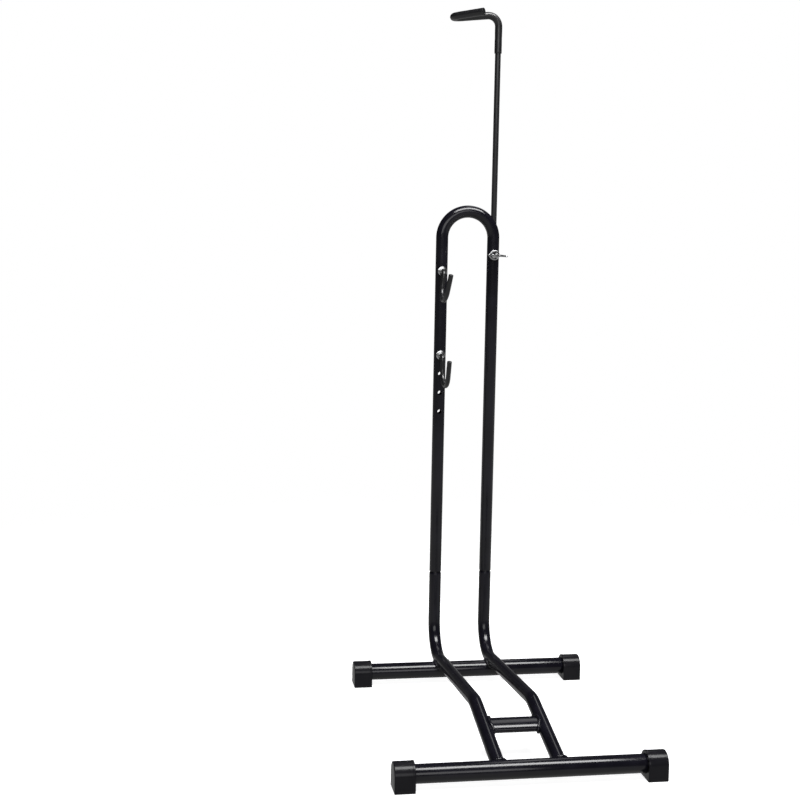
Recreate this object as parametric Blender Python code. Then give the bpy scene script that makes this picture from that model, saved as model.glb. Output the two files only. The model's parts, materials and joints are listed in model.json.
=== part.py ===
"""Floor stand for one bicycle: a welded ladder base, a plug-in upright of bent tube with two J-hooks on its
left leg, and a hook rod that slides and turns in its right leg. Metres, +Z up. The origin is on the floor
under the middle of the stand, X runs along the crossbars and -Y is the side where the wheel rolls in."""

import math

import bmesh
import bpy
from mathutils import Matrix, Vector

MM = 0.001
X_AXIS = Vector((1.0, 0.0, 0.0))
Y_AXIS = Vector((0.0, 1.0, 0.0))
Z_AXIS = Vector((0.0, 0.0, 1.0))
FACING_FRONT = (math.radians(90.0), 0.0, 0.0)

# Clearances
FIT_GAP = 0.3 * MM
ROD_HOLE_PLAY = 0.5 * MM

# Crossbars
BAR_LENGTH = 354.0 * MM
BAR_DIAMETER = 25.0 * MM
BAR_WALL = 1.2 * MM
BAR_SPACING = 406.0 * MM

# Feet
FOOT_WALL = 4.7 * MM
FOOT_SOLE = 7.0 * MM
FOOT_GRIP = 23.5 * MM
FOOT_END = 4.0 * MM
FOOT_CORNER = 1.5 * MM
FOOT_EDGE = 1.5 * MM

# Rails and the stubs that they turn up into
TUBE_DIAMETER = 19.0 * MM
TUBE_WALL = 1.2 * MM
LEG_SPACING = 82.0 * MM
LEG_SETBACK = 70.0 * MM
RAIL_CREST_REACH = 159.0 * MM
RAIL_CREST_HEIGHT = 56.0 * MM
RAIL_CREST_RADIUS = 60.0 * MM
RAIL_OVER_BAR = 13.0 * MM
KNEE_RADIUS = 50.0 * MM
STUB_TOP = 157.5 * MM
SWAGE_LENGTH = 4.0 * MM
SPIGOT_LENGTH = 45.0 * MM
SPIGOT_CHAMFER = 2.0 * MM

# Rung between the rails, an oval tube that lies flat along them
RUNG_REACH = 98.0 * MM
RUNG_WIDTH = 30.0 * MM
RUNG_HEIGHT = 15.0 * MM

# Weld beads
BEAD_RADIUS = 2.0 * MM
BEAD_STANDOFF = 1.2 * MM
BEAD_RIPPLE = 0.08
BEAD_RIPPLES = 10
BEAD_PHASE = 0.25

# Upright
UPRIGHT_AXIS_TOP = 737.0 * MM
HOLE_DIAMETER = 7.0 * MM
LOWER_HOLE_HEIGHT = 512.0 * MM
LOWER_HOLE_PITCH = 30.0 * MM
LOWER_HOLE_COUNT = 4
UPPER_HOLE_HEIGHT = 644.0 * MM

# J-hooks, measured from the axis of the left leg
WIRE_DIAMETER = 5.0 * MM
WIRE_SLEEVE_WALL = 0.9 * MM
WIRE_REACH = 25.0 * MM
WIRE_BEND_RADIUS = 8.0 * MM
CRADLE_RADIUS = 25.0 * MM
CRADLE_DROP = 44.0 * MM
CRADLE_FLARE = math.radians(18.0)
WIRE_TIP_LENGTH = 24.0 * MM
UPPER_HOOK_SWING = math.radians(7.0)

# Nuts and washers of the J-hooks
WASHER_DIAMETER = 15.0 * MM
WASHER_THICKNESS = 1.2 * MM
NUT_FLATS = 8.0 * MM
NUT_HEIGHT = 4.0 * MM
STUD_PROUD = 2.7 * MM

# Hook rod, its sleeve and its end plug
ROD_DIAMETER = 9.0 * MM
ROD_SLEEVE_WALL = 0.85 * MM
ROD_FOOT_HEIGHT = 460.0 * MM
ROD_HOOK_HEIGHT = 1037.0 * MM
SLEEVE_DROP = 56.5 * MM
ROD_BEND_RADIUS = 16.0 * MM
ROD_DROOP = math.radians(6.0)
HOOK_RUN = 42.0 * MM
HOOK_TURN_RADIUS = 14.0 * MM
HOOK_TURN = math.radians(142.0)
HOOK_RETURN = 42.0 * MM
SLEEVE_OVERHANG = 0.5 * MM
PLUG_LENGTH = 20.0 * MM
PLUG_FLOOR = 4.0 * MM
PLUG_CHAMFER = 1.0 * MM

# Clamp on the right leg, measured from the leg's axis
CLAMP_HEIGHT = 670.0 * MM
INSERT_FLANGE_DIAMETER = 16.0 * MM
INSERT_FLANGE_THICKNESS = 2.5 * MM
INSERT_STEM_DIAMETER = 9.0 * MM
INSERT_STEM_INTRUSION = 1.8 * MM
SCREW_DIAMETER = 6.0 * MM
SCREW_TIP_TAPER = 0.8 * MM
SCREW_PROUD = 8.0 * MM
WING_BOSS_DIAMETER = 12.0 * MM
WING_BOSS_HEIGHT = 10.0 * MM
WING_SPAN = 33.0 * MM
WING_EAR_RADIUS = 5.0 * MM
WING_EAR_RISE = 13.0 * MM
WING_THICKNESS = 3.0 * MM
WING_REST_TURN = math.radians(5.0)

# Facets
TUBE_SIDES = 20
BAR_SIDES = 24
ROD_SIDES = 12
HARDWARE_SIDES = 20
BORE_SIDES = 12

# Derived sizes
BAR_RADIUS = BAR_DIAMETER / 2
TUBE_RADIUS = TUBE_DIAMETER / 2
TUBE_BORE = TUBE_RADIUS - TUBE_WALL
RUNG_WIDENING = (RUNG_WIDTH - RUNG_HEIGHT) / 2
SPIGOT_RADIUS = TUBE_BORE - FIT_GAP
ROD_RADIUS = ROD_DIAMETER / 2
WIRE_RADIUS = WIRE_DIAMETER / 2
FOOT_RADIUS = BAR_RADIUS + FIT_GAP + FOOT_WALL
WASHER_STANDOFF = TUBE_RADIUS + FIT_GAP
NUT_STANDOFF = WASHER_STANDOFF + WASHER_THICKNESS + FIT_GAP
NUT_FACE = NUT_STANDOFF + NUT_HEIGHT
STUD_BACK = NUT_FACE + STUD_PROUD
DEPTH = FOOT_RADIUS + BAR_SPACING + LEG_SETBACK + STUD_BACK

# Derived places
BAR_Z = FOOT_SOLE + FIT_GAP + BAR_RADIUS
FRONT_BAR_Y = FOOT_RADIUS - DEPTH / 2
REAR_BAR_Y = FRONT_BAR_Y + BAR_SPACING
LEG_Y = REAR_BAR_Y + LEG_SETBACK
LEG_X = LEG_SPACING / 2
UPRIGHT_FOOT = STUB_TOP + SWAGE_LENGTH
UPRIGHT_BEND_Z = UPRIGHT_AXIS_TOP - LEG_X
RAIL_RISE = math.atan2(RAIL_CREST_HEIGHT - BAR_Z, RAIL_CREST_REACH)
RAIL_FALL = math.atan2(RAIL_CREST_HEIGHT - BAR_Z - RAIL_OVER_BAR, BAR_SPACING - RAIL_CREST_REACH)


def finish_material(name, colour, roughness, metallic):
    """A Principled BSDF with one colour, roughness and metallic value."""
    material = bpy.data.materials.new(name)
    material.use_nodes = True
    shader = material.node_tree.nodes["Principled BSDF"]
    shader.inputs["Base Color"].default_value = (*colour, 1.0)
    shader.inputs["Roughness"].default_value = roughness
    shader.inputs["Metallic"].default_value = metallic
    return material


def place(name, mesh, material, location=(0.0, 0.0, 0.0), rotation=(0.0, 0.0, 0.0), parent=None):
    """Put a mesh in the scene as a named sub-part."""
    part = bpy.data.objects.new(name, mesh)
    part.location = location
    part.rotation_euler = rotation
    part.parent = parent
    if material and not mesh.materials:
        mesh.materials.append(material)
    bpy.context.collection.objects.link(part)
    return part


def pivot(name, location, rotation=(0.0, 0.0, 0.0)):
    """An empty on a joint's axis, which its moving pieces hang on."""
    empty = bpy.data.objects.new(name, None)
    empty.location = location
    empty.rotation_euler = rotation
    empty.hide_render = True
    bpy.context.collection.objects.link(empty)
    return empty


def guide(name, mesh, location=(0.0, 0.0, 0.0), rotation=(0.0, 0.0, 0.0)):
    """A cutter or a lump to be welded on, which isn't a sub-part itself."""
    tool = place(name, mesh, None, location, rotation)
    tool.hide_render = True
    tool.display_type = "WIRE"
    return tool


def shape(part, tool, operation):
    """Add a Boolean: DIFFERENCE cuts the tool out of the part, UNION welds it on."""
    modifier = part.modifiers.new(tool.name, "BOOLEAN")
    modifier.object = tool
    modifier.operation = operation
    modifier.solver = "EXACT"
    modifier.use_self = operation == "UNION"


def to_mesh(work, name):
    """Close a bmesh into a smooth-shaded mesh with its faces pointing out."""
    bmesh.ops.recalc_face_normals(work, faces=work.faces)
    mesh = bpy.data.meshes.new(name)
    work.to_mesh(mesh)
    work.free()
    mesh.shade_smooth()
    mesh.set_sharp_from_angle(angle=math.radians(35.0))
    return mesh


class Bender:
    """A bar or tube drawn forward, bent and necked from its start to its end, as on a tube bender. It is
    round, or an oval that reaches further by widening towards its side."""

    def __init__(self, start, heading, side, radius, bore=0.0, sides=TUBE_SIDES, widening=0.0):
        self.work = bmesh.new()
        self.at = Vector(start)
        self.heading = Vector(heading).normalized()
        across = self.heading.cross(Vector(side)).normalized()
        stand = Matrix((across.cross(self.heading), across, self.heading)).transposed().to_4x4()
        stand.translation = self.at
        if bore:
            for loop_radius in (radius, bore):
                oval = Matrix.Diagonal((1.0 + widening / loop_radius, 1.0, 1.0, 1.0))
                bmesh.ops.create_circle(self.work, radius=loop_radius, segments=sides, matrix=stand @ oval)
            self.end = bmesh.ops.bridge_loops(self.work, edges=self.work.edges)["faces"]
        else:
            bmesh.ops.create_circle(self.work, cap_ends=True, radius=radius, segments=sides, matrix=stand)
            self.end = list(self.work.faces)

    def end_region(self):
        return self.end + list(dict.fromkeys(edge for face in self.end for edge in face.edges))

    def forward(self, length):
        grown = bmesh.ops.extrude_face_region(self.work, geom=self.end_region())["geom"]
        rim = [item for item in grown if isinstance(item, bmesh.types.BMVert)]
        self.end = [item for item in grown if isinstance(item, bmesh.types.BMFace)]
        bmesh.ops.translate(self.work, verts=rim, vec=self.heading * length)
        self.at = self.at + self.heading * length
        return rim

    def neck(self, length, reduction):
        """Draw forward while the wall closes in by one reduction of radius."""
        for vert in self.forward(length):
            radial = vert.co - self.at
            radial -= self.heading * radial.dot(self.heading)
            vert.co -= radial.normalized() * reduction

    def bend(self, radius, angle, toward, steps):
        toward = Vector(toward)
        toward = (toward - self.heading * toward.dot(self.heading)).normalized()
        centre = self.at + toward * radius
        axis = self.heading.cross(toward)
        swept = bmesh.ops.spin(
            self.work, geom=self.end_region(), cent=centre, axis=axis, angle=angle, steps=steps, use_merge=False
        )["geom_last"]
        self.end = [item for item in swept if isinstance(item, bmesh.types.BMFace)]
        turn = Matrix.Rotation(angle, 3, axis)
        self.at = centre + turn @ (self.at - centre)
        self.heading = turn @ self.heading

    def mesh(self, name):
        return to_mesh(self.work, name)


def cylinder(name, start, end, radius, sides=BORE_SIDES, side=None):
    """A solid bar from one point to another."""
    run = Vector(end) - Vector(start)
    across = side or (X_AXIS if abs(run.normalized().x) < 0.5 else Z_AXIS)
    bar = Bender(start, run, across, radius, sides=sides)
    bar.forward(run.length)
    return bar.mesh(name)


def ring(name, radius, bore, thickness, sides=HARDWARE_SIDES):
    """A flat ring on the floor of its own frame, its axis along Z."""
    body = Bender((0.0, 0.0, 0.0), Z_AXIS, X_AXIS, radius, bore, sides)
    body.forward(thickness)
    return body.mesh(name)


def turned(name, profile, sides):
    """A solid turned round Z from an outline of (radius, height) pairs that starts and ends on the axis."""
    work = bmesh.new()
    points = [work.verts.new((radius, 0.0, height)) for radius, height in profile]
    edges = [work.edges.new(pair) for pair in zip(points, points[1:])]
    bmesh.ops.spin(
        work, geom=points + edges, cent=(0, 0, 0), axis=Z_AXIS, angle=math.tau, steps=sides, use_merge=True
    )
    bmesh.ops.remove_doubles(work, verts=work.verts, dist=0.001 * MM)
    return to_mesh(work, name)


def arc(centre, radius, start, stop, steps):
    """Points along an arc, angles in degrees."""
    for step in range(steps + 1):
        angle = math.radians(start + (stop - start) * step / steps)
        yield centre[0] + radius * math.cos(angle), centre[1] + radius * math.sin(angle)


def slab(name, outline, thickness, place_point):
    """A flat outline, put into space by place_point(a, b, level), with a thickness."""
    work = bmesh.new()
    face = work.faces.new([work.verts.new(place_point(a, b, 0.0)) for a, b in outline])
    grown = bmesh.ops.extrude_face_region(work, geom=[face])["geom"]
    rim = [item for item in grown if isinstance(item, bmesh.types.BMVert)]
    step = Vector(place_point(0.0, 0.0, thickness)) - Vector(place_point(0.0, 0.0, 0.0))
    bmesh.ops.translate(work, verts=rim, vec=step)
    return to_mesh(work, name)


def weld_bead(name, tube_radius, host_radius, offset, frame, widening=0.0):
    """The bead round a tube welded to a round host. The loop is where a cylinder a little larger than the
    tube meets one a little larger than the host, whose axis runs along the frame's first direction, offset
    below the tube's axis. frame turns (host axis, square to both, along the tube) into the stand's frame.
    An oval tube is wider along the host's axis by its widening."""
    reach = tube_radius + BEAD_STANDOFF
    host = host_radius + FIT_GAP + BEAD_STANDOFF
    widest = math.pi / 2 if reach + offset < host else math.asin((host - offset) / reach)
    crossing = widest < math.pi / 2
    count = BEAD_RIPPLES * 2
    curve = bpy.data.curves.new(name, "CURVE")
    curve.dimensions = "3D"
    curve.bevel_depth = BEAD_RADIUS
    curve.bevel_resolution = 1
    spline = curve.splines.new("POLY")
    spline.points.add(count - 1)
    spline.use_cyclic_u = True
    for index, point in enumerate(spline.points):
        turn = math.tau * (index + BEAD_PHASE) / count
        if crossing:
            angle = (widest + math.pi / 2) * math.sin(turn) - math.pi / 2
        else:
            angle = turn
        sideways = (reach + widening) * math.cos(angle)
        upward = reach * math.sin(angle)
        along = math.sqrt(max(host**2 - (upward + offset) ** 2, 0.0))
        if crossing and math.cos(turn) < 0.0:
            along = -along
        point.co = (*(frame @ Vector((sideways, upward, along))), 1.0)
        point.radius = 1.0 + BEAD_RIPPLE * (-1) ** index
    bead = bpy.data.objects.new(name, curve)
    mesh = bpy.data.meshes.new_from_object(bead)
    bpy.data.objects.remove(bead)
    bpy.data.curves.remove(curve)
    return mesh


def rail_frame(x, y, z, slope):
    """A frame on a rail: X along the crossbars, square to the rail, and along it at a slope."""
    along = Vector((0.0, math.cos(slope), math.sin(slope)))
    square = along.cross(-X_AXIS)
    frame = Matrix((X_AXIS, square, along)).transposed().to_4x4()
    frame.translation = Vector((x, y, z))
    return frame


def build_crossbar(name, y, paint):
    tube = Bender((-BAR_LENGTH / 2, y, BAR_Z), X_AXIS, Z_AXIS, BAR_RADIUS, BAR_RADIUS - BAR_WALL, BAR_SIDES)
    tube.forward(BAR_LENGTH)
    return place(name, tube.mesh(name), paint)


def build_bar_space(name, y):
    """The room that a crossbar takes in the feet and in the ends and notches of the rails."""
    half = BAR_LENGTH / 2 + FIT_GAP
    mesh = cylinder(name, (-half, y, BAR_Z), (half, y, BAR_Z), BAR_RADIUS + FIT_GAP, BAR_SIDES)
    return guide(name, mesh)


def build_foot_mesh():
    """An end cap that grows along +X from where it starts on the tube: round above, flat below."""
    outline = [
        *arc((-FOOT_RADIUS + FOOT_CORNER, FOOT_CORNER), FOOT_CORNER, 180, 270, 3),
        *arc((FOOT_RADIUS - FOOT_CORNER, FOOT_CORNER), FOOT_CORNER, 270, 360, 3),
        *arc((0.0, BAR_Z), FOOT_RADIUS, 0, 180, 14),
    ]
    length = FOOT_GRIP + FOOT_END
    mesh = slab("foot", outline, length, lambda a, b, level: (level, a, b))
    work = bmesh.new()
    work.from_mesh(mesh)
    bpy.data.meshes.remove(mesh)
    rim = [edge for edge in work.edges if all(vert.co.x > length - FIT_GAP for vert in edge.verts)]
    bmesh.ops.bevel(work, geom=rim, offset=FOOT_EDGE, segments=2, profile=0.5, affect="EDGES", material=-1)
    return to_mesh(work, "foot")


def build_feet(y, bar_space, end_name, moulding):
    for side_name, side in (("left", -1), ("right", 1)):
        turn = (0.0, 0.0, 0.0 if side > 0 else math.pi)
        start = (side * (BAR_LENGTH / 2 - FOOT_GRIP), y, 0.0)
        foot = place(f"{end_name}_{side_name}_foot", build_foot_mesh(), moulding, start, turn)
        shape(foot, bar_space, "DIFFERENCE")


def build_rail(side_name, x, front_space, rear_space, paint):
    """One tube from the front crossbar over the crest, down over the rear crossbar and up into its stub."""
    name = f"{side_name}_rail"
    slope = Vector((0.0, math.cos(RAIL_RISE), math.sin(RAIL_RISE)))
    crest_turn = RAIL_RISE + RAIL_FALL
    crest_tangent = RAIL_CREST_RADIUS * math.tan(crest_turn / 2)
    rise_length = RAIL_CREST_REACH / math.cos(RAIL_RISE) - crest_tangent
    knee_start_y = LEG_Y - KNEE_RADIUS - KNEE_RADIUS * math.sin(RAIL_FALL)
    crest_y = FRONT_BAR_Y + RAIL_CREST_REACH
    fall_length = (knee_start_y - crest_y) / math.cos(RAIL_FALL) - crest_tangent

    tube = Bender((x, FRONT_BAR_Y, BAR_Z), slope, X_AXIS, TUBE_RADIUS, TUBE_BORE)
    tube.forward(rise_length)
    tube.bend(RAIL_CREST_RADIUS, crest_turn, -Z_AXIS, steps=3)
    tube.forward(fall_length)
    tube.bend(KNEE_RADIUS, math.pi / 2 + RAIL_FALL, Z_AXIS, steps=9)
    tube.forward(STUB_TOP - tube.at.z)
    tube.neck(SWAGE_LENGTH, TUBE_RADIUS - SPIGOT_RADIUS)
    tube.forward(SPIGOT_LENGTH - SPIGOT_CHAMFER)
    tube.neck(SPIGOT_CHAMFER, TUBE_WALL / 3)
    rail = place(name, tube.mesh(name), paint)

    front = rail_frame(x, FRONT_BAR_Y, BAR_Z, RAIL_RISE)
    bead = weld_bead(f"{name}_front_bead", TUBE_RADIUS, BAR_RADIUS, 0.0, front)
    shape(rail, guide(f"{name}_front_bead", bead), "UNION")
    rear = rail_frame(x, REAR_BAR_Y, BAR_Z, -RAIL_FALL)
    drop = RAIL_OVER_BAR * math.cos(RAIL_FALL)
    rear = rear @ Matrix.Translation((0.0, drop, 0.0))
    bead = weld_bead(f"{name}_rear_bead", TUBE_RADIUS, BAR_RADIUS, drop, rear)
    shape(rail, guide(f"{name}_rear_bead", bead), "UNION")
    shape(rail, front_space, "DIFFERENCE")
    shape(rail, rear_space, "DIFFERENCE")


def build_rung(paint):
    y = FRONT_BAR_Y + RUNG_REACH
    z = BAR_Z + RUNG_REACH * math.tan(RAIL_RISE)
    slope = Vector((0.0, math.cos(RAIL_RISE), math.sin(RAIL_RISE)))
    radius = RUNG_HEIGHT / 2
    tube = Bender((-LEG_X, y, z), X_AXIS, slope, radius, radius - TUBE_WALL, widening=RUNG_WIDENING)
    tube.forward(LEG_SPACING)
    rung = place("rung", tube.mesh("rung"), paint)
    for side_name, side in (("left", -1), ("right", 1)):
        inward = -side * X_AXIS
        frame = Matrix((slope, inward.cross(slope), inward)).transposed().to_4x4()
        frame.translation = Vector((side * LEG_X, y, z))
        bead = weld_bead(f"rung_{side_name}_bead", radius, TUBE_RADIUS, 0.0, frame, RUNG_WIDENING)
        shape(rung, guide(f"rung_{side_name}_bead", bead), "UNION")
    for side_name, side in (("left", -1), ("right", 1)):
        middle = Vector((side * LEG_X, y, z))
        half = slope * (RUNG_WIDTH + TUBE_DIAMETER)
        room = cylinder(f"{side_name}_rail_space", middle - half, middle + half, TUBE_RADIUS + FIT_GAP, TUBE_SIDES)
        shape(rung, guide(f"{side_name}_rail_space", room), "DIFFERENCE")


def build_upright(paint):
    """The inverted U, drilled for the J-hooks, the rod and the clamp insert."""
    tube = Bender((-LEG_X, LEG_Y, UPRIGHT_FOOT), Z_AXIS, X_AXIS, TUBE_RADIUS, TUBE_BORE)
    tube.forward(UPRIGHT_BEND_Z - UPRIGHT_FOOT)
    tube.bend(LEG_X, math.pi, X_AXIS, steps=14)
    tube.forward(UPRIGHT_BEND_Z - UPRIGHT_FOOT)
    upright = place("upright", tube.mesh("upright"), paint)

    heights = [LOWER_HOLE_HEIGHT - LOWER_HOLE_PITCH * index for index in range(LOWER_HOLE_COUNT)]
    for index, height in enumerate([UPPER_HOLE_HEIGHT, *heights]):
        reach = Y_AXIS * TUBE_DIAMETER
        middle = Vector((-LEG_X, LEG_Y, height))
        drill = cylinder(f"leg_hole_{index}", middle - reach, middle + reach, HOLE_DIAMETER / 2)
        shape(upright, guide(f"leg_hole_{index}", drill), "DIFFERENCE")

    foot = Vector((LEG_X, LEG_Y, UPRIGHT_BEND_Z))
    head = Vector((LEG_X, LEG_Y, UPRIGHT_AXIS_TOP + TUBE_RADIUS))
    drill = cylinder("rod_hole", foot, head, ROD_RADIUS + ROD_HOLE_PLAY)
    shape(upright, guide("rod_hole", drill), "DIFFERENCE")

    axis = Vector((LEG_X, LEG_Y, CLAMP_HEIGHT))
    outside = axis - Y_AXIS * TUBE_DIAMETER
    drill = cylinder("insert_hole", axis, outside, INSERT_STEM_DIAMETER / 2 + FIT_GAP)
    shape(upright, guide("insert_hole", drill), "DIFFERENCE")


def build_clamp(zinc):
    """The threaded insert with its saddle-backed flange, and the wing screw in it."""
    axis = Vector((LEG_X, LEG_Y, CLAMP_HEIGHT))
    flange_face = TUBE_RADIUS + INSERT_FLANGE_THICKNESS
    flange = cylinder("clamp_insert", Z_AXIS * 0.0, Z_AXIS * flange_face, INSERT_FLANGE_DIAMETER / 2, HARDWARE_SIDES)
    insert = place("clamp_insert", flange, zinc, axis, FACING_FRONT)
    reach = Z_AXIS * INSERT_FLANGE_DIAMETER
    saddle = cylinder("leg_space", axis - reach, axis + reach, TUBE_RADIUS + FIT_GAP, TUBE_SIDES)
    shape(insert, guide("leg_space", saddle), "DIFFERENCE")
    stem_foot = Z_AXIS * (TUBE_BORE - INSERT_STEM_INTRUSION)
    stem_head = Z_AXIS * (TUBE_RADIUS + INSERT_FLANGE_THICKNESS / 2)
    stem = cylinder("insert_stem", stem_foot, stem_head, INSERT_STEM_DIAMETER / 2)
    shape(insert, guide("insert_stem", stem, axis, FACING_FRONT), "UNION")
    thread = cylinder("insert_bore", Z_AXIS * 0.0, Z_AXIS * TUBE_DIAMETER, SCREW_DIAMETER / 2 + FIT_GAP)
    shape(insert, guide("insert_bore", thread, axis, FACING_FRONT), "DIFFERENCE")

    screw_radius = SCREW_DIAMETER / 2
    tip = ROD_RADIUS + FIT_GAP
    boss_foot = flange_face + SCREW_PROUD
    boss_head = boss_foot + WING_BOSS_HEIGHT
    boss_radius = WING_BOSS_DIAMETER / 2
    profile = [
        (0.0, tip),
        (screw_radius - SCREW_TIP_TAPER, tip),
        (screw_radius, tip + SCREW_TIP_TAPER),
        (screw_radius, boss_foot),
        (boss_radius, boss_foot),
        (boss_radius, boss_foot + WING_BOSS_HEIGHT / 3),
        (boss_radius * 0.75, boss_head - screw_radius / 3),
        (boss_radius * 0.5, boss_head),
        (0.0, boss_head),
    ]
    turn = (FACING_FRONT[0], WING_REST_TURN, 0.0)
    screw = place("wing_screw", turned("wing_screw", profile, HARDWARE_SIDES // 2), zinc, axis, turn)
    ear_x = WING_SPAN / 2 - WING_EAR_RADIUS
    ear_z = boss_foot + WING_EAR_RISE
    for side_name, side in (("left", -1), ("right", 1)):
        outline = [
            (0.0, boss_foot + screw_radius / 2),
            (boss_radius, boss_foot + screw_radius / 2),
            *arc((ear_x, ear_z), WING_EAR_RADIUS, -50, 140, 8),
            (boss_radius / 2, boss_foot + WING_BOSS_HEIGHT * 0.7),
            (0.0, boss_foot + WING_BOSS_HEIGHT * 0.7),
        ]
        half = WING_THICKNESS / 2
        ear = slab(f"{side_name}_wing", outline, WING_THICKNESS, lambda a, b, level: (side * a, level - half, b))
        shape(screw, guide(f"{side_name}_wing", ear, axis, turn), "UNION")


def j_hook_bends(wire):
    """The bends shared by a J-hook's wire and its sleeve: down, round the cradle and up to the flared tip."""
    wire.bend(WIRE_BEND_RADIUS, math.pi / 2, -Z_AXIS, steps=4)
    wire.forward(CRADLE_DROP - CRADLE_RADIUS - WIRE_BEND_RADIUS)
    wire.bend(CRADLE_RADIUS, math.pi - CRADLE_FLARE, -Y_AXIS, steps=9)


def build_wire_mesh():
    wire = Bender(Y_AXIS * STUD_BACK, -Y_AXIS, X_AXIS, WIRE_RADIUS, sides=ROD_SIDES)
    wire.forward(STUD_BACK + WIRE_REACH - WIRE_BEND_RADIUS)
    j_hook_bends(wire)
    wire.forward(WIRE_TIP_LENGTH)
    return wire.mesh("hook_wire")


def build_wire_sleeve_mesh():
    inner = WIRE_RADIUS + FIT_GAP
    start = NUT_FACE + FIT_GAP
    sleeve = Bender(-Y_AXIS * start, -Y_AXIS, X_AXIS, inner + WIRE_SLEEVE_WALL, inner, ROD_SIDES)
    sleeve.forward(WIRE_REACH - WIRE_BEND_RADIUS - start)
    j_hook_bends(sleeve)
    sleeve.forward(WIRE_TIP_LENGTH + SLEEVE_OVERHANG)
    return sleeve.mesh("wire_sleeve")


def nut_mesh():
    """A hexagon whose flats have a point in their middle, so that it bridges to a round bore."""
    corner = NUT_FLATS / 2 / math.cos(math.pi / 6)
    body = Bender((0.0, 0.0, 0.0), Z_AXIS, X_AXIS, corner, WIRE_RADIUS + FIT_GAP, BORE_SIDES)
    body.forward(NUT_HEIGHT)
    for vert in body.work.verts:
        sector = round(math.atan2(vert.co.y, vert.co.x) / (math.pi / 6))
        if sector % 2 and vert.co.xy.length > corner * 0.9:
            vert.co.x *= math.cos(math.pi / 6)
            vert.co.y *= math.cos(math.pi / 6)
    return body.mesh("hook_nut")


def build_j_hook(end_name, height, swing, wire_meshes, hardware_meshes, metal, plastic):
    """One J-hook at its hole, with a washer and a nut on each side of the leg."""
    axis = Vector((-LEG_X, LEG_Y, height))
    washer, nut = hardware_meshes
    for face_name, turn in (("front", FACING_FRONT), ("rear", (-FACING_FRONT[0], 0.0, 0.0))):
        outward = -Y_AXIS if face_name == "front" else Y_AXIS
        place(f"{end_name}_hook_{face_name}_washer", washer, metal, axis + outward * WASHER_STANDOFF, turn)
        place(f"{end_name}_hook_{face_name}_nut", nut, metal, axis + outward * NUT_STANDOFF, turn)
    swivel = pivot(f"{end_name}_hook_swivel", axis, (0.0, swing, 0.0))
    wire, sleeve = wire_meshes
    place(f"{end_name}_hook_wire", wire, metal, parent=swivel)
    place(f"{end_name}_hook_sleeve", sleeve, plastic, parent=swivel)


def rod_bends(rod):
    """The bends shared by the rod and its sleeve: over to the left and round towards the front."""
    rod.bend(ROD_BEND_RADIUS, math.pi / 2 + ROD_DROOP, -X_AXIS, steps=7)
    rod.forward(HOOK_RUN)
    rod.bend(HOOK_TURN_RADIUS, HOOK_TURN, -Y_AXIS, steps=8)


def build_hook_rod(paint, plastic):
    bend_start = ROD_HOOK_HEIGHT - ROD_BEND_RADIUS
    axis = pivot("rod_turn", (LEG_X, LEG_Y, ROD_HOOK_HEIGHT))

    rod = Bender(-Z_AXIS * (ROD_HOOK_HEIGHT - ROD_FOOT_HEIGHT), Z_AXIS, X_AXIS, ROD_RADIUS, sides=ROD_SIDES)
    rod.forward(bend_start - ROD_FOOT_HEIGHT)
    rod_bends(rod)
    rod.forward(HOOK_RETURN)
    place("hook_rod", rod.mesh("hook_rod"), paint, parent=axis)

    inner = ROD_RADIUS + FIT_GAP
    sleeve = Bender(-Z_AXIS * SLEEVE_DROP, Z_AXIS, X_AXIS, inner + ROD_SLEEVE_WALL, inner, ROD_SIDES)
    sleeve.forward(SLEEVE_DROP - ROD_BEND_RADIUS)
    rod_bends(sleeve)
    sleeve.forward(HOOK_RETURN + SLEEVE_OVERHANG)
    place("hook_sleeve", sleeve.mesh("hook_sleeve"), plastic, parent=axis)


def build_rod_plug(moulding):
    """A cup on the lower end of the rod that runs in the bore of the leg."""
    outer = TUBE_BORE - FIT_GAP
    socket = ROD_RADIUS + FIT_GAP
    foot = ROD_FOOT_HEIGHT - FIT_GAP - PLUG_FLOOR
    head = foot + PLUG_LENGTH
    profile = [
        (0.0, foot),
        (outer - PLUG_CHAMFER, foot),
        (outer, foot + PLUG_CHAMFER),
        (outer, head - PLUG_CHAMFER),
        (outer - PLUG_CHAMFER, head),
        (socket, head),
        (socket, foot + PLUG_FLOOR),
        (0.0, foot + PLUG_FLOOR),
    ]
    place("rod_end_plug", turned("rod_end_plug", profile, TUBE_SIDES), moulding, (LEG_X, LEG_Y, 0.0))


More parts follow.
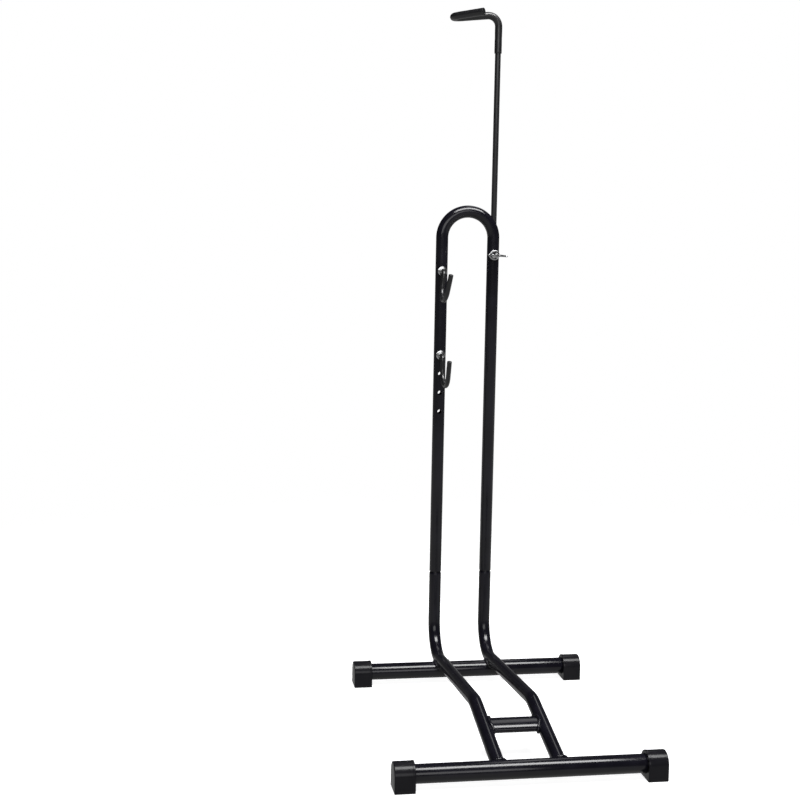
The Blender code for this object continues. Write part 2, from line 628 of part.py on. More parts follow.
def main():
    for old in list(bpy.data.objects):
        bpy.data.objects.remove(old)

    paint = finish_material("black_powder_coat", (0.012, 0.012, 0.014), 0.28, 0.0)
    rod_paint = finish_material("black_rod_coat", (0.02, 0.02, 0.022), 0.4, 0.0)
    moulding = finish_material("black_moulding", (0.018, 0.018, 0.019), 0.55, 0.0)
    plastic = finish_material("black_sleeve", (0.025, 0.025, 0.026), 0.5, 0.0)
    zinc = finish_material("bright_zinc", (0.62, 0.62, 0.6), 0.3, 1.0)

    build_crossbar("front_crossbar", FRONT_BAR_Y, paint)
    build_crossbar("rear_crossbar", REAR_BAR_Y, paint)
    front_space = build_bar_space("front_bar_space", FRONT_BAR_Y)
    rear_space = build_bar_space("rear_bar_space", REAR_BAR_Y)
    build_feet(FRONT_BAR_Y, front_space, "front", moulding)
    build_feet(REAR_BAR_Y, rear_space, "rear", moulding)
    build_rail("left", -LEG_X, front_space, rear_space, paint)
    build_rail("right", LEG_X, front_space, rear_space, paint)
    build_rung(paint)

    build_upright(paint)
    build_clamp(zinc)
    wire_meshes = (build_wire_mesh(), build_wire_sleeve_mesh())
    washer = ring("hook_washer", WASHER_DIAMETER / 2, WIRE_RADIUS + FIT_GAP, WASHER_THICKNESS)
    hardware_meshes = (washer, nut_mesh())
    build_j_hook("upper", UPPER_HOLE_HEIGHT, UPPER_HOOK_SWING, wire_meshes, hardware_meshes, zinc, plastic)
    build_j_hook("lower", LOWER_HOLE_HEIGHT, 0.0, wire_meshes, hardware_meshes, zinc, plastic)
    build_hook_rod(rod_paint, plastic)
    build_rod_plug(moulding)


main()
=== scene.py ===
# %% [markdown]
# # A bike stand
#
# The real stand is made of bent steel tube with a glossy black powder coat. Two crossbars with moulded
# feet lie on the floor. Two rails join them, with a rung between the rails and a long slot behind it. A
# hoop of the same tube plugs on the rails' turned-up ends. Its left leg carries two J-shaped hooks, and
# its right leg holds a rod with a bigger hook, which a wing screw clamps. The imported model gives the
# places. This script gives the looks.

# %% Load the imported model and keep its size
import json
import math

import bmesh
import bpy
from mathutils import Matrix, Vector, noise


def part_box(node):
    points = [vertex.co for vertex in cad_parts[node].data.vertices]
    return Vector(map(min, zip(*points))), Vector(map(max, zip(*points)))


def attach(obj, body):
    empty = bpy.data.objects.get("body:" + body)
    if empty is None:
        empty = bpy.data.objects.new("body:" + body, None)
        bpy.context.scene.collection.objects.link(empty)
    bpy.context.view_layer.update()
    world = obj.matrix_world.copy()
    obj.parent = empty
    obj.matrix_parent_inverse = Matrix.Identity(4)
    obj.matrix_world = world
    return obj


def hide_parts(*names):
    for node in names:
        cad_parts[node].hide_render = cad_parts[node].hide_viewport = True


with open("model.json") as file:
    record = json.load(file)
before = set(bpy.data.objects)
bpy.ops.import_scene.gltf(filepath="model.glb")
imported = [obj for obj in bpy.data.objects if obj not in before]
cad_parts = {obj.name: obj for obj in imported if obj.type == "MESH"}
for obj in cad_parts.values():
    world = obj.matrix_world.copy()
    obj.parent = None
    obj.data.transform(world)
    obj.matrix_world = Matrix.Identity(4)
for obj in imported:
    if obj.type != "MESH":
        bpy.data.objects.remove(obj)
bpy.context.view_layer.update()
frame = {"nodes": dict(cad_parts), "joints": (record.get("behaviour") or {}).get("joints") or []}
print("nodes:", len(frame["nodes"]))

# %% [markdown]
# A piece that replaces one of the model's solids has to lie exactly where that solid lies. So the places
# come from the frame: a joint's position is a point on a leg's axis, and a box gives a bar's length and
# height. Only radii and lengths that no box or joint tells are written here, as the maker would write
# them on a drawing. The last three are small: the gap between pieces that fit together, the slack in a
# sleeve or a bore, and the hairline that keeps the faces of two pieces from lying on each other.

# %% Read places off the frame and name the sizes
MM = 0.001
X_AXIS = Vector((1.0, 0.0, 0.0))
Y_AXIS = Vector((0.0, 1.0, 0.0))
Z_AXIS = Vector((0.0, 0.0, 1.0))
QUARTER_TURN = math.pi / 2

lowest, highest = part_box("front_crossbar")
BAR_LENGTH = highest.x - lowest.x
BAR_RADIUS = (highest.z - lowest.z) / 2
BAR_Z = (highest.z + lowest.z) / 2
FRONT_BAR_Y = (highest.y + lowest.y) / 2
lowest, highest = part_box("rear_crossbar")
REAR_BAR_Y = (highest.y + lowest.y) / 2

joints = {joint["name"]: joint for joint in frame["joints"]}
UPPER_HOLE = Vector(joints["upper_hook_swivel"]["pos_m"])
LOWER_HOLE = Vector(joints["lower_hook_swivel"]["pos_m"])
CLAMP = Vector(joints["wing_screw_turn"]["pos_m"])
HOOK_TOP = Vector(joints["rod_turn"]["pos_m"])
LEG_X = HOOK_TOP.x
LEG_Y = HOOK_TOP.y

TUBE_RADIUS = 9.5 * MM
TUBE_WALL = 1.2 * MM
TUBE_BORE = TUBE_RADIUS - TUBE_WALL
BAR_BORE = BAR_RADIUS - TUBE_WALL
FIT_GAP = 0.3 * MM
SLACK = 0.1 * MM
HAIRLINE = 0.05 * MM
print("crossbar:", round(BAR_LENGTH / MM, 1), "mm long,", round(BAR_RADIUS * 2 / MM, 1), "mm thick")

# %% [markdown]
# Most pieces are drawn with bmesh, Blender's kit for building a mesh one operation at a time. It hands
# back new vertices, edges and faces in one list, so a helper sorts them. When a piece is drawn, points
# that lie on each other are merged and its faces turned outwards. Then it is shaded smooth, except where
# two faces meet keenly.

# %% Helpers that grow, round and finish a bmesh
FINE_ANGLE = math.radians(30.0)
KEEN_ANGLE = math.radians(60.0)
MERGE_DISTANCE = 0.0001 * MM


def only(kind, items):
    return [item for item in items if isinstance(item, kind)]


def with_edges(faces):
    """Faces and their edges, which is what extrude and spin ask for."""
    return faces + list(dict.fromkeys(edge for face in faces for edge in face.edges))


def extrude(work, faces):
    """Pull a region of faces off the mesh, not moved yet, and give back its new vertices and faces."""
    grown = bmesh.ops.extrude_face_region(work, geom=with_edges(faces))["geom"]
    return only(bmesh.types.BMVert, grown), only(bmesh.types.BMFace, grown)


def bevel(work, geom, width, segments, affect="EDGES"):
    bmesh.ops.bevel(
        work,
        geom=geom,
        offset=width,
        segments=segments,
        profile=0.5,
        affect=affect,
        material=-1,
        clamp_overlap=True,
    )


def soften(work, width):
    """Round every edge where two faces meet at more than 60 degrees."""
    work.normal_update()
    closed = [edge for edge in work.edges if edge.is_manifold]
    keen = [edge for edge in closed if abs(edge.calc_face_angle(0.0)) > KEEN_ANGLE]
    bevel(work, keen, width, segments=2)


def store(work, name):
    """Write a bmesh to a mesh, and let go of it."""
    mesh = bpy.data.meshes.new(name)
    work.to_mesh(mesh)
    work.free()
    return mesh


def shade(mesh):
    mesh.shade_smooth()
    mesh.set_sharp_from_angle(angle=FINE_ANGLE)
    return mesh


def to_mesh(work, name):
    """Close a bmesh, turn its faces outwards and shade it."""
    bmesh.ops.remove_doubles(work, verts=work.verts, dist=MERGE_DISTANCE)
    bmesh.ops.recalc_face_normals(work, faces=work.faces)
    return shade(store(work, name))


print("edges stay sharp above", round(math.degrees(FINE_ANGLE)), "degrees")

# %% [markdown]
# Nearly every piece is a round bar or tube, so one small class draws them all, the way a tube bender
# does. It starts from a circle, and then the end face is extruded straight on or spun round a bend. The
# facets can be fine here, because only the render and the visual export read them. The physics has its
# own plain solids.

# %% A bar that is drawn out of its own end
TUBE_SIDES = 64
ROD_SIDES = 48


def placing(right, up, forward, place):
    """The matrix that turns X, Y and Z to three directions and moves the origin to a place."""
    matrix = Matrix((right, up, forward)).transposed().to_4x4()
    matrix.translation = place
    return matrix


class BentBar:
    """A bar or tube that grows from its end face: straight on, round a bend, or to another radius."""

    def __init__(self, start, heading, side, radius, bore=0.0, sides=TUBE_SIDES, widening=0.0):
        self.work = bmesh.new()
        self.at = Vector(start)
        self.heading = heading.normalized()
        across = self.heading.cross(side).normalized()
        stand = placing(across.cross(self.heading), across, self.heading, self.at)
        if bore:
            for ring_radius in (radius, bore):
                oval = Matrix.Diagonal((1.0 + widening / ring_radius, 1.0, 1.0, 1.0))
                bmesh.ops.create_circle(self.work, radius=ring_radius, segments=sides, matrix=stand @ oval)
            self.end = bmesh.ops.bridge_loops(self.work, edges=self.work.edges)["faces"]
        else:
            bmesh.ops.create_circle(self.work, cap_ends=True, radius=radius, segments=sides, matrix=stand)
            self.end = list(self.work.faces)

    def straight(self, length, cuts=1):
        """Draw straight on in a number of equal cuts, and give back the last ring."""
        ring = []
        for _ in range(cuts):
            ring, self.end = extrude(self.work, self.end)
            bmesh.ops.translate(self.work, verts=ring, vec=self.heading * (length / cuts))
            self.at = self.at + self.heading * (length / cuts)
        return ring

    def swell(self, length, change):
        """Draw on by a length while the radius of every wall changes."""
        for vert in self.straight(length):
            radial = vert.co - self.at
            radial -= self.heading * radial.dot(self.heading)
            vert.co += radial.normalized() * change

    def bend(self, radius, angle, toward, steps):
        """Draw round a bend of a radius and an angle, towards a direction."""
        toward = (toward - self.heading * toward.dot(self.heading)).normalized()
        centre = self.at + toward * radius
        axis = self.heading.cross(toward)
        region = with_edges(self.end)
        swept = bmesh.ops.spin(
            self.work, geom=region, cent=centre, axis=axis, angle=angle, steps=steps, use_merge=False
        )["geom_last"]
        self.end = only(bmesh.types.BMFace, swept)
        turn = Matrix.Rotation(angle, 3, axis)
        self.at = centre + turn @ (self.at - centre)
        self.heading = turn @ self.heading

    def mesh(self, name, edge=0.0):
        """Give back the bar, with its ends rounded off by the width of edge."""
        if edge:
            soften(self.work, edge)
        return to_mesh(self.work, name)


print("a tube has", TUBE_SIDES, "sides, and a rod or wire has", ROD_SIDES)

# %% [markdown]
# Holes and saddles are cut with a Boolean. The cut is worked out at once, so that no cutter stays in the
# scene. A long thin face beside a hole would shade badly, so the tubes get a ring every few millimetres
# near one. Cutters are bars too, or solids turned on a lathe: an outline spun right round the Z axis.
# Once in a while a Boolean leaves a mesh open, though it got what it always gets, so each result is
# looked over and made again if need be.

# %% Cut one mesh with another
CARVE_TRIES = 5
AXIS_MERGE = 0.001 * MM
MOUTH_CLEARANCE = 1.0 * MM


def new_object(name, data):
    item = bpy.data.objects.new(name, data)
    bpy.context.scene.collection.objects.link(item)
    return item


def evaluated(item):
    """The mesh that an object's modifiers make."""
    bpy.context.view_layer.update()
    graph = bpy.context.evaluated_depsgraph_get()
    return bpy.data.meshes.new_from_object(item.evaluated_get(graph))


def is_closed(mesh):
    work = bmesh.new()
    work.from_mesh(mesh)
    closed = all(edge.is_manifold for edge in work.edges)
    work.free()
    return closed


def carve(mesh, tool, operation="DIFFERENCE"):
    """Give back the mesh cut by the tool, joined to it, or kept only inside it."""
    base = new_object("carved", mesh)
    cutter = new_object("cutter", tool)
    for _ in range(CARVE_TRIES):
        modifier = base.modifiers.new("carve", "BOOLEAN")
        modifier.object = cutter
        modifier.operation = operation
        modifier.solver = "EXACT"
        result = evaluated(base)
        base.modifiers.clear()
        if is_closed(result):
            break
        print("made again, because it was open:", mesh.name)
    for item in (base, cutter):
        bpy.data.objects.remove(item)
    return shade(result)


def bar_between(start, end, radius, sides=TUBE_SIDES):
    """A plain solid bar, used as a cutter."""
    run = Vector(end) - Vector(start)
    side = X_AXIS if abs(run.normalized().x) < 0.5 else Z_AXIS
    bar = BentBar(start, run, side, radius, sides=sides)
    bar.straight(run.length)
    return bar.mesh("cutter")


def turned(name, outline, sides=TUBE_SIDES):
    """A solid turned on a lathe, round Z, from (radius, height) pairs that start and end on the axis."""
    work = bmesh.new()
    verts = [work.verts.new((radius, 0.0, height)) for radius, height in outline]
    edges = [work.edges.new(pair) for pair in zip(verts, verts[1:])]
    bmesh.ops.spin(
        work, geom=verts + edges, cent=(0, 0, 0), axis=Z_AXIS, angle=math.tau, steps=sides, use_merge=True
    )
    bmesh.ops.remove_doubles(work, verts=work.verts, dist=AXIS_MERGE)
    return to_mesh(work, name)


def flared_drill(radius, depth, flare, through=False):
    """A cutter along +Z for a hole whose mouth, or both if it goes through, widens at 45 degrees."""
    wide = radius + flare + MOUTH_CLEARANCE
    outline = [(0.0, -MOUTH_CLEARANCE), (wide, -MOUTH_CLEARANCE), (radius, flare)]
    if through:
        far = depth + MOUTH_CLEARANCE
        outline += [(radius, depth - flare), (wide, far), (0.0, far)]
    else:
        outline += [(radius, depth), (0.0, depth)]
    return turned("drill", outline)


print("a cut along another piece is", round(HAIRLINE / MM, 2), "mm off its face")

# %% [markdown]
# ## Finishes
#
# A finish is a small network of nodes. Written out node by node it is hard to read, so a socket is
# wrapped in a class that knows the signs of arithmetic, and one method makes any other node. All patterns
# read Object coordinates, which are metres here, so a noise scale of 600 has lumps of about 1.7
# millimetres.

# %% Write shader maths as arithmetic
MIX_FACTOR, MIX_FIRST, MIX_SECOND = 0, 6, 7
MIX_COLOUR_OUTPUT = 2


class Signal:
    """One socket of a finish, which can be added, subtracted and multiplied like a number."""

    def __init__(self, network, socket):
        self.network = network
        self.socket = socket

    def combine(self, operation, first, second):
        return self.network.make("ShaderNodeMath", {"operation": operation}, {0: first, 1: second})

    def __add__(self, other):
        return self.combine("ADD", self, other)

    def __radd__(self, other):
        return self.combine("ADD", other, self)

    def __sub__(self, other):
        return self.combine("SUBTRACT", self, other)

    def __rsub__(self, other):
        return self.combine("SUBTRACT", other, self)

    def __mul__(self, other):
        return self.combine("MULTIPLY", self, other)

    def __rmul__(self, other):
        return self.combine("MULTIPLY", other, self)


class Network:
    """The nodes of a material or a world, and the few ways in which this script makes them."""

    def __init__(self, owner):
        owner.use_nodes = True
        self.owner = owner
        self.tree = owner.node_tree

    def make(self, kind, settings=None, sockets=None, output=0):
        """Any node: its settings first, then the values or signals of its sockets."""
        node = self.tree.nodes.new(kind)
        for key, value in (settings or {}).items():
            if key == "stops":
                while len(node.color_ramp.elements) < len(value):
                    node.color_ramp.elements.new(1.0)
                for element, (place, level) in zip(node.color_ramp.elements, value):
                    element.position = place
                    element.color = (level, level, level, 1.0)
            else:
                setattr(node, key, value)
        self.wire(node, sockets or {})
        return Signal(self, node.outputs[output]) if node.outputs else None

    def wire(self, node, sockets):
        for key, value in sockets.items():
            if isinstance(value, Signal):
                self.tree.links.new(value.socket, node.inputs[key])
            else:
                node.inputs[key].default_value = value

    def noise(self, scale, detail=2.0, stretch=(1.0, 1.0, 1.0)):
        """Noise with lumps of 1/scale metres, drawn out along an axis where stretch is small."""
        place = self.make("ShaderNodeTexCoord", output="Object")
        sockets = {"Vector": place, "Scale": stretch}
        spread = self.make("ShaderNodeMapping", {"vector_type": "POINT"}, sockets)
        return self.make("ShaderNodeTexNoise", {}, {"Vector": spread, "Scale": scale, "Detail": detail})

    def ramp(self, signal, low, high):
        """0 below low, 1 above high, and a straight line between."""
        return self.make("ShaderNodeValToRGB", {"stops": [(low, 0.0), (high, 1.0)]}, {"Fac": signal})

    def tint(self, amount, dark, light):
        """A colour between two others."""
        sockets = {MIX_FACTOR: amount, MIX_FIRST: (*dark, 1.0), MIX_SECOND: (*light, 1.0)}
        return self.make("ShaderNodeMix", {"data_type": "RGBA"}, sockets, output=MIX_COLOUR_OUTPUT)


class Finish(Network):
    """A material under construction."""

    def __init__(self, name):
        super().__init__(bpy.data.materials.new(name))
        self.surface = self.tree.nodes["Principled BSDF"]

    def end(self, colour, roughness, relief, depth, metallic=0.0, level=0.5):
        """Feed the surface: colour, roughness, and a relief as deep as depth metres."""
        bump = self.make("ShaderNodeBump", {}, {"Height": relief, "Distance": depth, "Strength": 1.0})
        sockets = {
            "Base Color": colour,
            "Roughness": roughness,
            "Metallic": metallic,
            "Specular IOR Level": level,
            "Normal": bump,
        }
        self.wire(self.surface, sockets)
        print(f"{self.owner.name}: {len(self.tree.nodes)} nodes")
        return self.owner


FINISHES = {}
print("a signal knows the signs + - *")

# %% [markdown]
# Powder coat is sprayed on dry and melts into a thick glossy skin. It flows just enough to leave an
# orange peel, lumps a millimetre or two wide and a few thousandths deep, which breaks up the edge of
# every reflection. A second, finer noise stands for the specks that settle in it, and a slow one varies
# the gloss along a tube.

# %% Finish: black powder coat
COAT_DARK = (0.0045, 0.0042, 0.0075)
COAT_LIGHT = (0.0080, 0.0075, 0.0125)
COAT_ROUGHNESS = 0.165

finish = Finish("black powder coat")
peel = finish.noise(scale=520.0, detail=1.0)
specks = finish.ramp(finish.noise(scale=1900.0, detail=1.0), low=0.66, high=0.78)
handling = finish.ramp(finish.noise(scale=34.0, detail=4.0), low=0.42, high=0.72)
FINISHES["powder_coat"] = finish.end(
    colour=finish.tint(handling, COAT_DARK, COAT_LIGHT),
    roughness=COAT_ROUGHNESS + handling * 0.035 + specks * 0.10,
    relief=peel + specks * 0.35,
    depth=0.008 * MM,
    level=0.45,
)

# %% [markdown]
# The hook rod has a thinner, satin coat. It slides through its hole and under the clamping screw, so it
# carries fine marks along its length. Noise that is drawn out along Z gives such marks on the upright
# part of the rod.

# %% Finish: satin coat of the rod
ROD_DARK = (0.0080, 0.0080, 0.0090)
ROD_LIGHT = (0.0300, 0.0300, 0.0320)
ROD_ROUGHNESS = 0.26

finish = Finish("satin black rod coat")
drawn_out = finish.noise(scale=1500.0, detail=3.0, stretch=(1.0, 1.0, 0.012))
marks = finish.ramp(drawn_out, low=0.58, high=0.74)
cloud = finish.noise(scale=60.0, detail=3.0)
FINISHES["rod_coat"] = finish.end(
    colour=finish.tint(marks * 0.6, ROD_DARK, ROD_LIGHT),
    roughness=ROD_ROUGHNESS + cloud * 0.10 - marks * 0.06,
    relief=cloud - marks * 0.4,
    depth=0.006 * MM,
    level=0.8,
)

# %% [markdown]
# The feet are injection mouldings. Their steel mould is spark eroded, which leaves an even, very fine
# grain, and so they shine far less than the tubes. Dust and floor wear turn the lowest millimetres a
# little grey.

# %% Finish: moulded feet
FOOT_DARK = (0.0060, 0.0058, 0.0085)
FOOT_DUSTY = (0.0400, 0.0390, 0.0380)
FOOT_ROUGHNESS = 0.20
DUST_HEIGHT = 5.0 * MM

finish = Finish("black moulded plastic")
grain = finish.noise(scale=2400.0, detail=2.0)
flow = finish.noise(scale=45.0, detail=3.0)
place = finish.make("ShaderNodeTexCoord", output="Object")
height = finish.make("ShaderNodeSeparateXYZ", {}, {"Vector": place}, output="Z")
near_floor = 1.0 - finish.ramp(height * (1.0 / DUST_HEIGHT), low=0.05, high=0.95)
dust = finish.ramp(finish.noise(scale=230.0, detail=5.0), low=0.46, high=0.70) * near_floor
FINISHES["foot_moulding"] = finish.end(
    colour=finish.tint(dust * 0.55 + flow * 0.2, FOOT_DARK, FOOT_DUSTY),
    roughness=FOOT_ROUGHNESS + flow * 0.06 + dust * 0.2,
    relief=grain,
    depth=0.005 * MM,
    level=0.2,
)

# %% [markdown]
# The sleeves are soft plastic pushed over the bent wire. They are glossy, but never quite straight. The
# lumps that are a centimetre long are modelled in the mesh, and the finish only adds the fine waviness of
# an extruded tube.

# %% Finish: soft plastic sleeves
SLEEVE_DARK = (0.0070, 0.0070, 0.0080)
SLEEVE_LIGHT = (0.0130, 0.0130, 0.0140)
SLEEVE_ROUGHNESS = 0.24

finish = Finish("soft black sleeve")
wave = finish.noise(scale=180.0, detail=2.0)
fine = finish.noise(scale=1300.0, detail=2.0)
FINISHES["sleeve_plastic"] = finish.end(
    colour=finish.tint(wave, SLEEVE_DARK, SLEEVE_LIGHT),
    roughness=SLEEVE_ROUGHNESS + wave * 0.12,
    relief=wave + fine * 0.25,
    depth=0.020 * MM,
    level=0.6,
)

# %% [markdown]
# Nuts, washers, wires, insert and wing screw are zinc plated. Fresh zinc is bright and slightly blue,
# with a cloudy pattern where the plating took a little differently, and it is scratched by every spanner
# and washer.

# %% Finish: bright zinc
ZINC_BLUE = (0.47, 0.48, 0.50)
ZINC_PALE = (0.66, 0.66, 0.65)
ZINC_ROUGHNESS = 0.12

finish = Finish("bright zinc plate")
cloud = finish.noise(scale=260.0, detail=3.0)
drawn_out = finish.noise(scale=2600.0, detail=3.0, stretch=(1.0, 0.08, 1.0))
scratches = finish.ramp(drawn_out, low=0.60, high=0.72)
FINISHES["bright_zinc"] = finish.end(
    colour=finish.tint(cloud, ZINC_BLUE, ZINC_PALE),
    roughness=ZINC_ROUGHNESS + cloud * 0.10 + scratches * 0.10,
    relief=cloud + scratches * 0.5,
    depth=0.003 * MM,
    metallic=1.0,
)

# %% [markdown]
# Each piece then goes through one door. It gets the finish of its slot, it rides on the body that it
# moves with, and the solids of the model that it stands for are hidden. Its place goes into its mesh and
# never into its object, because the patterns read Object coordinates and would slide if the object were
# moved.

# %% Put a piece in the scene
def show(name, mesh, slot, body, *nodes, place=Matrix.Identity(4)):
    """Put a finished mesh in the scene, on its body, in place of the solids that it stands for."""
    mesh.transform(place)
    mesh.materials.clear()
    mesh.materials.append(FINISHES[slot])
    piece = new_object(name, mesh)
    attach(piece, body)
    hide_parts(*nodes)
    print(f"{name}: {len(mesh.polygons)} faces")


print("finishes:", ", ".join(FINISHES))

# %% [markdown]
# ## The base
#
# Each crossbar is a plain length of tube. It could stay as the model's faceted solid, but a glossy coat
# shows every facet as a stripe, so it is drawn again with 64 sides.

# %% Crossbars
for name, y in (("front_crossbar", FRONT_BAR_Y), ("rear_crossbar", REAR_BAR_Y)):
    bar = BentBar((-BAR_LENGTH / 2, y, BAR_Z), X_AXIS, Z_AXIS, BAR_RADIUS, BAR_BORE)
    bar.straight(BAR_LENGTH)
    show(f"{name}_tube", bar.mesh(name, edge=0.2 * MM), "powder_coat", "base", name)

# %% [markdown]
# A foot is round above, to follow its tube, and flat below. Its outline starts as a disc. The lower half
# is cut off, the cut edge is pulled down to the floor, and the two corners are rounded. Pushing the face
# along the bar makes the body, with a low rim round the mouth, where the moulding is stiffer.

# %% Feet
lowest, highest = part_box("front_right_foot")
FOOT_START = lowest.x
FOOT_LENGTH = highest.x - lowest.x
FOOT_RADIUS = (highest.y - lowest.y) / 2
FOOT_CORNER = 1.5 * MM
FOOT_EDGE = 1.3 * MM
RIM_EDGE = 0.5 * MM
RIM_LENGTH = 2.8 * MM
RIM_STEP = 0.5 * MM
RIM_DROP = 0.3 * MM
MOUTH_FLARE = 0.7 * MM
CUT_TOLERANCE = 0.01 * MM
STRAIGHT_ANGLE = math.radians(0.5)
ACROSS_BAR = Matrix.Translation((0.0, 0.0, BAR_Z)) @ Matrix.Rotation(QUARTER_TURN, 4, "Y")


def foot_outline(work):
    """The flat D-shaped face of a foot, across the bar, with its sole on the floor."""
    bmesh.ops.create_circle(work, cap_ends=True, radius=FOOT_RADIUS, segments=TUBE_SIDES, matrix=ACROSS_BAR)
    cut = bmesh.ops.bisect_plane(
        work,
        geom=list(work.verts) + list(work.edges) + list(work.faces),
        dist=CUT_TOLERANCE,
        plane_co=Z_AXIS * BAR_Z,
        plane_no=-Z_AXIS,
        clear_outer=True,
    )["geom_cut"]
    pulled = bmesh.ops.extrude_edge_only(work, edges=only(bmesh.types.BMEdge, cut))["geom"]
    bmesh.ops.translate(work, verts=only(bmesh.types.BMVert, pulled), vec=-Z_AXIS * BAR_Z)
    bmesh.ops.dissolve_faces(work, faces=list(work.faces))
    bmesh.ops.dissolve_limit(work, angle_limit=STRAIGHT_ANGLE, verts=work.verts, edges=work.edges)
    corners = [vert for vert in work.verts if vert.co.z < FOOT_CORNER]
    bevel(work, corners, FOOT_CORNER, segments=6, affect="VERTICES")
    return list(work.faces)


def foot_mesh():
    """A foot that grows along +X from its mouth at X = 0."""
    work = bmesh.new()
    end = foot_outline(work)
    body = FOOT_LENGTH - RIM_LENGTH - RIM_STEP
    for length, drop in ((RIM_LENGTH, 0.0), (RIM_STEP, RIM_DROP), (body, 0.0)):
        ring, end = extrude(work, end)
        bmesh.ops.translate(work, verts=ring, vec=X_AXIS * length)
        for vert in ring:
            if vert.co.z > BAR_Z / 2:
                radial = Vector((0.0, vert.co.y, max(vert.co.z - BAR_Z, 0.0))).normalized()
                vert.co -= radial * drop
    far_rim = [edge for edge in work.edges if all(vert.co.x > FOOT_LENGTH - FIT_GAP for vert in edge.verts)]
    bevel(work, far_rim, FOOT_EDGE, segments=5)
    near_rim = [edge for edge in work.edges if all(vert.co.x < FIT_GAP for vert in edge.verts)]
    bevel(work, near_rim, RIM_EDGE, segments=3)
    mouth = flared_drill(BAR_RADIUS + SLACK, BAR_LENGTH / 2 - FOOT_START + FIT_GAP, MOUTH_FLARE)
    mouth.transform(ACROSS_BAR)
    return carve(to_mesh(work, "foot"), mouth)


for end_name, y in (("front", FRONT_BAR_Y), ("rear", REAR_BAR_Y)):
    for side_name, turn in (("left", math.pi), ("right", 0.0)):
        name = f"{end_name}_{side_name}_foot"
        place = Matrix.Translation(Y_AXIS * y) @ Matrix.Rotation(turn, 4, "Z")
        place = place @ Matrix.Translation(X_AXIS * FOOT_START)
        show(f"{name}_cap", foot_mesh(), "foot_moulding", "base", name, place=place)

# %% [markdown]
# A rail is one tube. It leaves the front crossbar, bends over a crest, falls to the rear crossbar, where
# it is notched to sit down on it, and turns up into the stub that the hoop plugs on. The stub is swaged:
# its end is squeezed to a smaller radius, in a short curve like a bottle's neck.

# %% Rails
CREST_REACH = 159.0 * MM
CREST_HEIGHT = 56.0 * MM
CREST_RADIUS = 60.0 * MM
OVER_BAR = 13.0 * MM
KNEE_RADIUS = 50.0 * MM
STUB_TOP = 157.5 * MM
SWAGE_LENGTH = 4.0 * MM
SWAGE_STEPS = 8
SPIGOT_RADIUS = TUBE_BORE - FIT_GAP
SPIGOT_LENGTH = 45.0 * MM
SPIGOT_CHAMFER = 2.0 * MM
BAR_SPACING = REAR_BAR_Y - FRONT_BAR_Y
RISE = math.atan2(CREST_HEIGHT - BAR_Z, CREST_REACH)
FALL = math.atan2(CREST_HEIGHT - BAR_Z - OVER_BAR, BAR_SPACING - CREST_REACH)
ALONG_RISE = Vector((0.0, math.cos(RISE), math.sin(RISE)))
ALONG_FALL = Vector((0.0, math.cos(FALL), -math.sin(FALL)))


def rail_mesh(x):
    crest_tangent = CREST_RADIUS * math.tan((RISE + FALL) / 2)
    crest_y = FRONT_BAR_Y + CREST_REACH
    knee_start = LEG_Y - KNEE_RADIUS - KNEE_RADIUS * math.sin(FALL)
    rise_length = CREST_REACH / math.cos(RISE) - crest_tangent
    fall_length = (knee_start - crest_y) / math.cos(FALL) - crest_tangent

    tube = BentBar((x, FRONT_BAR_Y, BAR_Z), ALONG_RISE, X_AXIS, TUBE_RADIUS, TUBE_BORE)
    tube.straight(rise_length, cuts=40)
    tube.bend(CREST_RADIUS, RISE + FALL, -Z_AXIS, steps=14)
    tube.straight(fall_length, cuts=60)
    tube.bend(KNEE_RADIUS, QUARTER_TURN + FALL, Z_AXIS, steps=40)
    tube.straight(STUB_TOP - tube.at.z)
    drop = TUBE_RADIUS - SPIGOT_RADIUS
    for step in range(SWAGE_STEPS):
        before = math.cos(math.pi * step / SWAGE_STEPS)
        after = math.cos(math.pi * (step + 1) / SWAGE_STEPS)
        tube.swell(SWAGE_LENGTH / SWAGE_STEPS, (after - before) * drop / 2)
    tube.straight(SPIGOT_LENGTH - SPIGOT_CHAMFER)
    tube.swell(SPIGOT_CHAMFER, -TUBE_WALL / 3)

    mesh = tube.mesh("rail")
    reach = BAR_LENGTH / 2
    for y in (FRONT_BAR_Y, REAR_BAR_Y):
        mesh = carve(mesh, bar_between((-reach, y, BAR_Z), (reach, y, BAR_Z), BAR_RADIUS - HAIRLINE))
    return mesh


for side_name, x in (("left", -LEG_X), ("right", LEG_X)):
    name = f"{side_name}_rail"
    show(f"{name}_tube", rail_mesh(x), "powder_coat", "base", name)

# %% [markdown]
# The rung is a short oval tube that lies flat along the rails. Its ends are coped, that is cut to the
# curve of the rails, before it is welded in.

# %% Rung
RUNG_REACH = 98.0 * MM
RUNG_WIDTH = 30.0 * MM
RUNG_HEIGHT = 15.0 * MM
RUNG_WIDENING = (RUNG_WIDTH - RUNG_HEIGHT) / 2
RUNG_Y = FRONT_BAR_Y + RUNG_REACH
RUNG_Z = BAR_Z + RUNG_REACH * math.tan(RISE)


def rung_mesh():
    start = (-LEG_X, RUNG_Y, RUNG_Z)
    bore = RUNG_HEIGHT / 2 - TUBE_WALL
    tube = BentBar(start, X_AXIS, ALONG_RISE, RUNG_HEIGHT / 2, bore, widening=RUNG_WIDENING)
    tube.straight(LEG_X * 2, cuts=40)
    mesh = tube.mesh("rung")
    reach = ALONG_RISE * RUNG_WIDTH
    for x in (-LEG_X, LEG_X):
        middle = Vector((x, RUNG_Y, RUNG_Z))
        mesh = carve(mesh, bar_between(middle - reach, middle + reach, TUBE_RADIUS - HAIRLINE))
    return mesh


show("rung_tube", rung_mesh(), "powder_coat", "base", "rung")

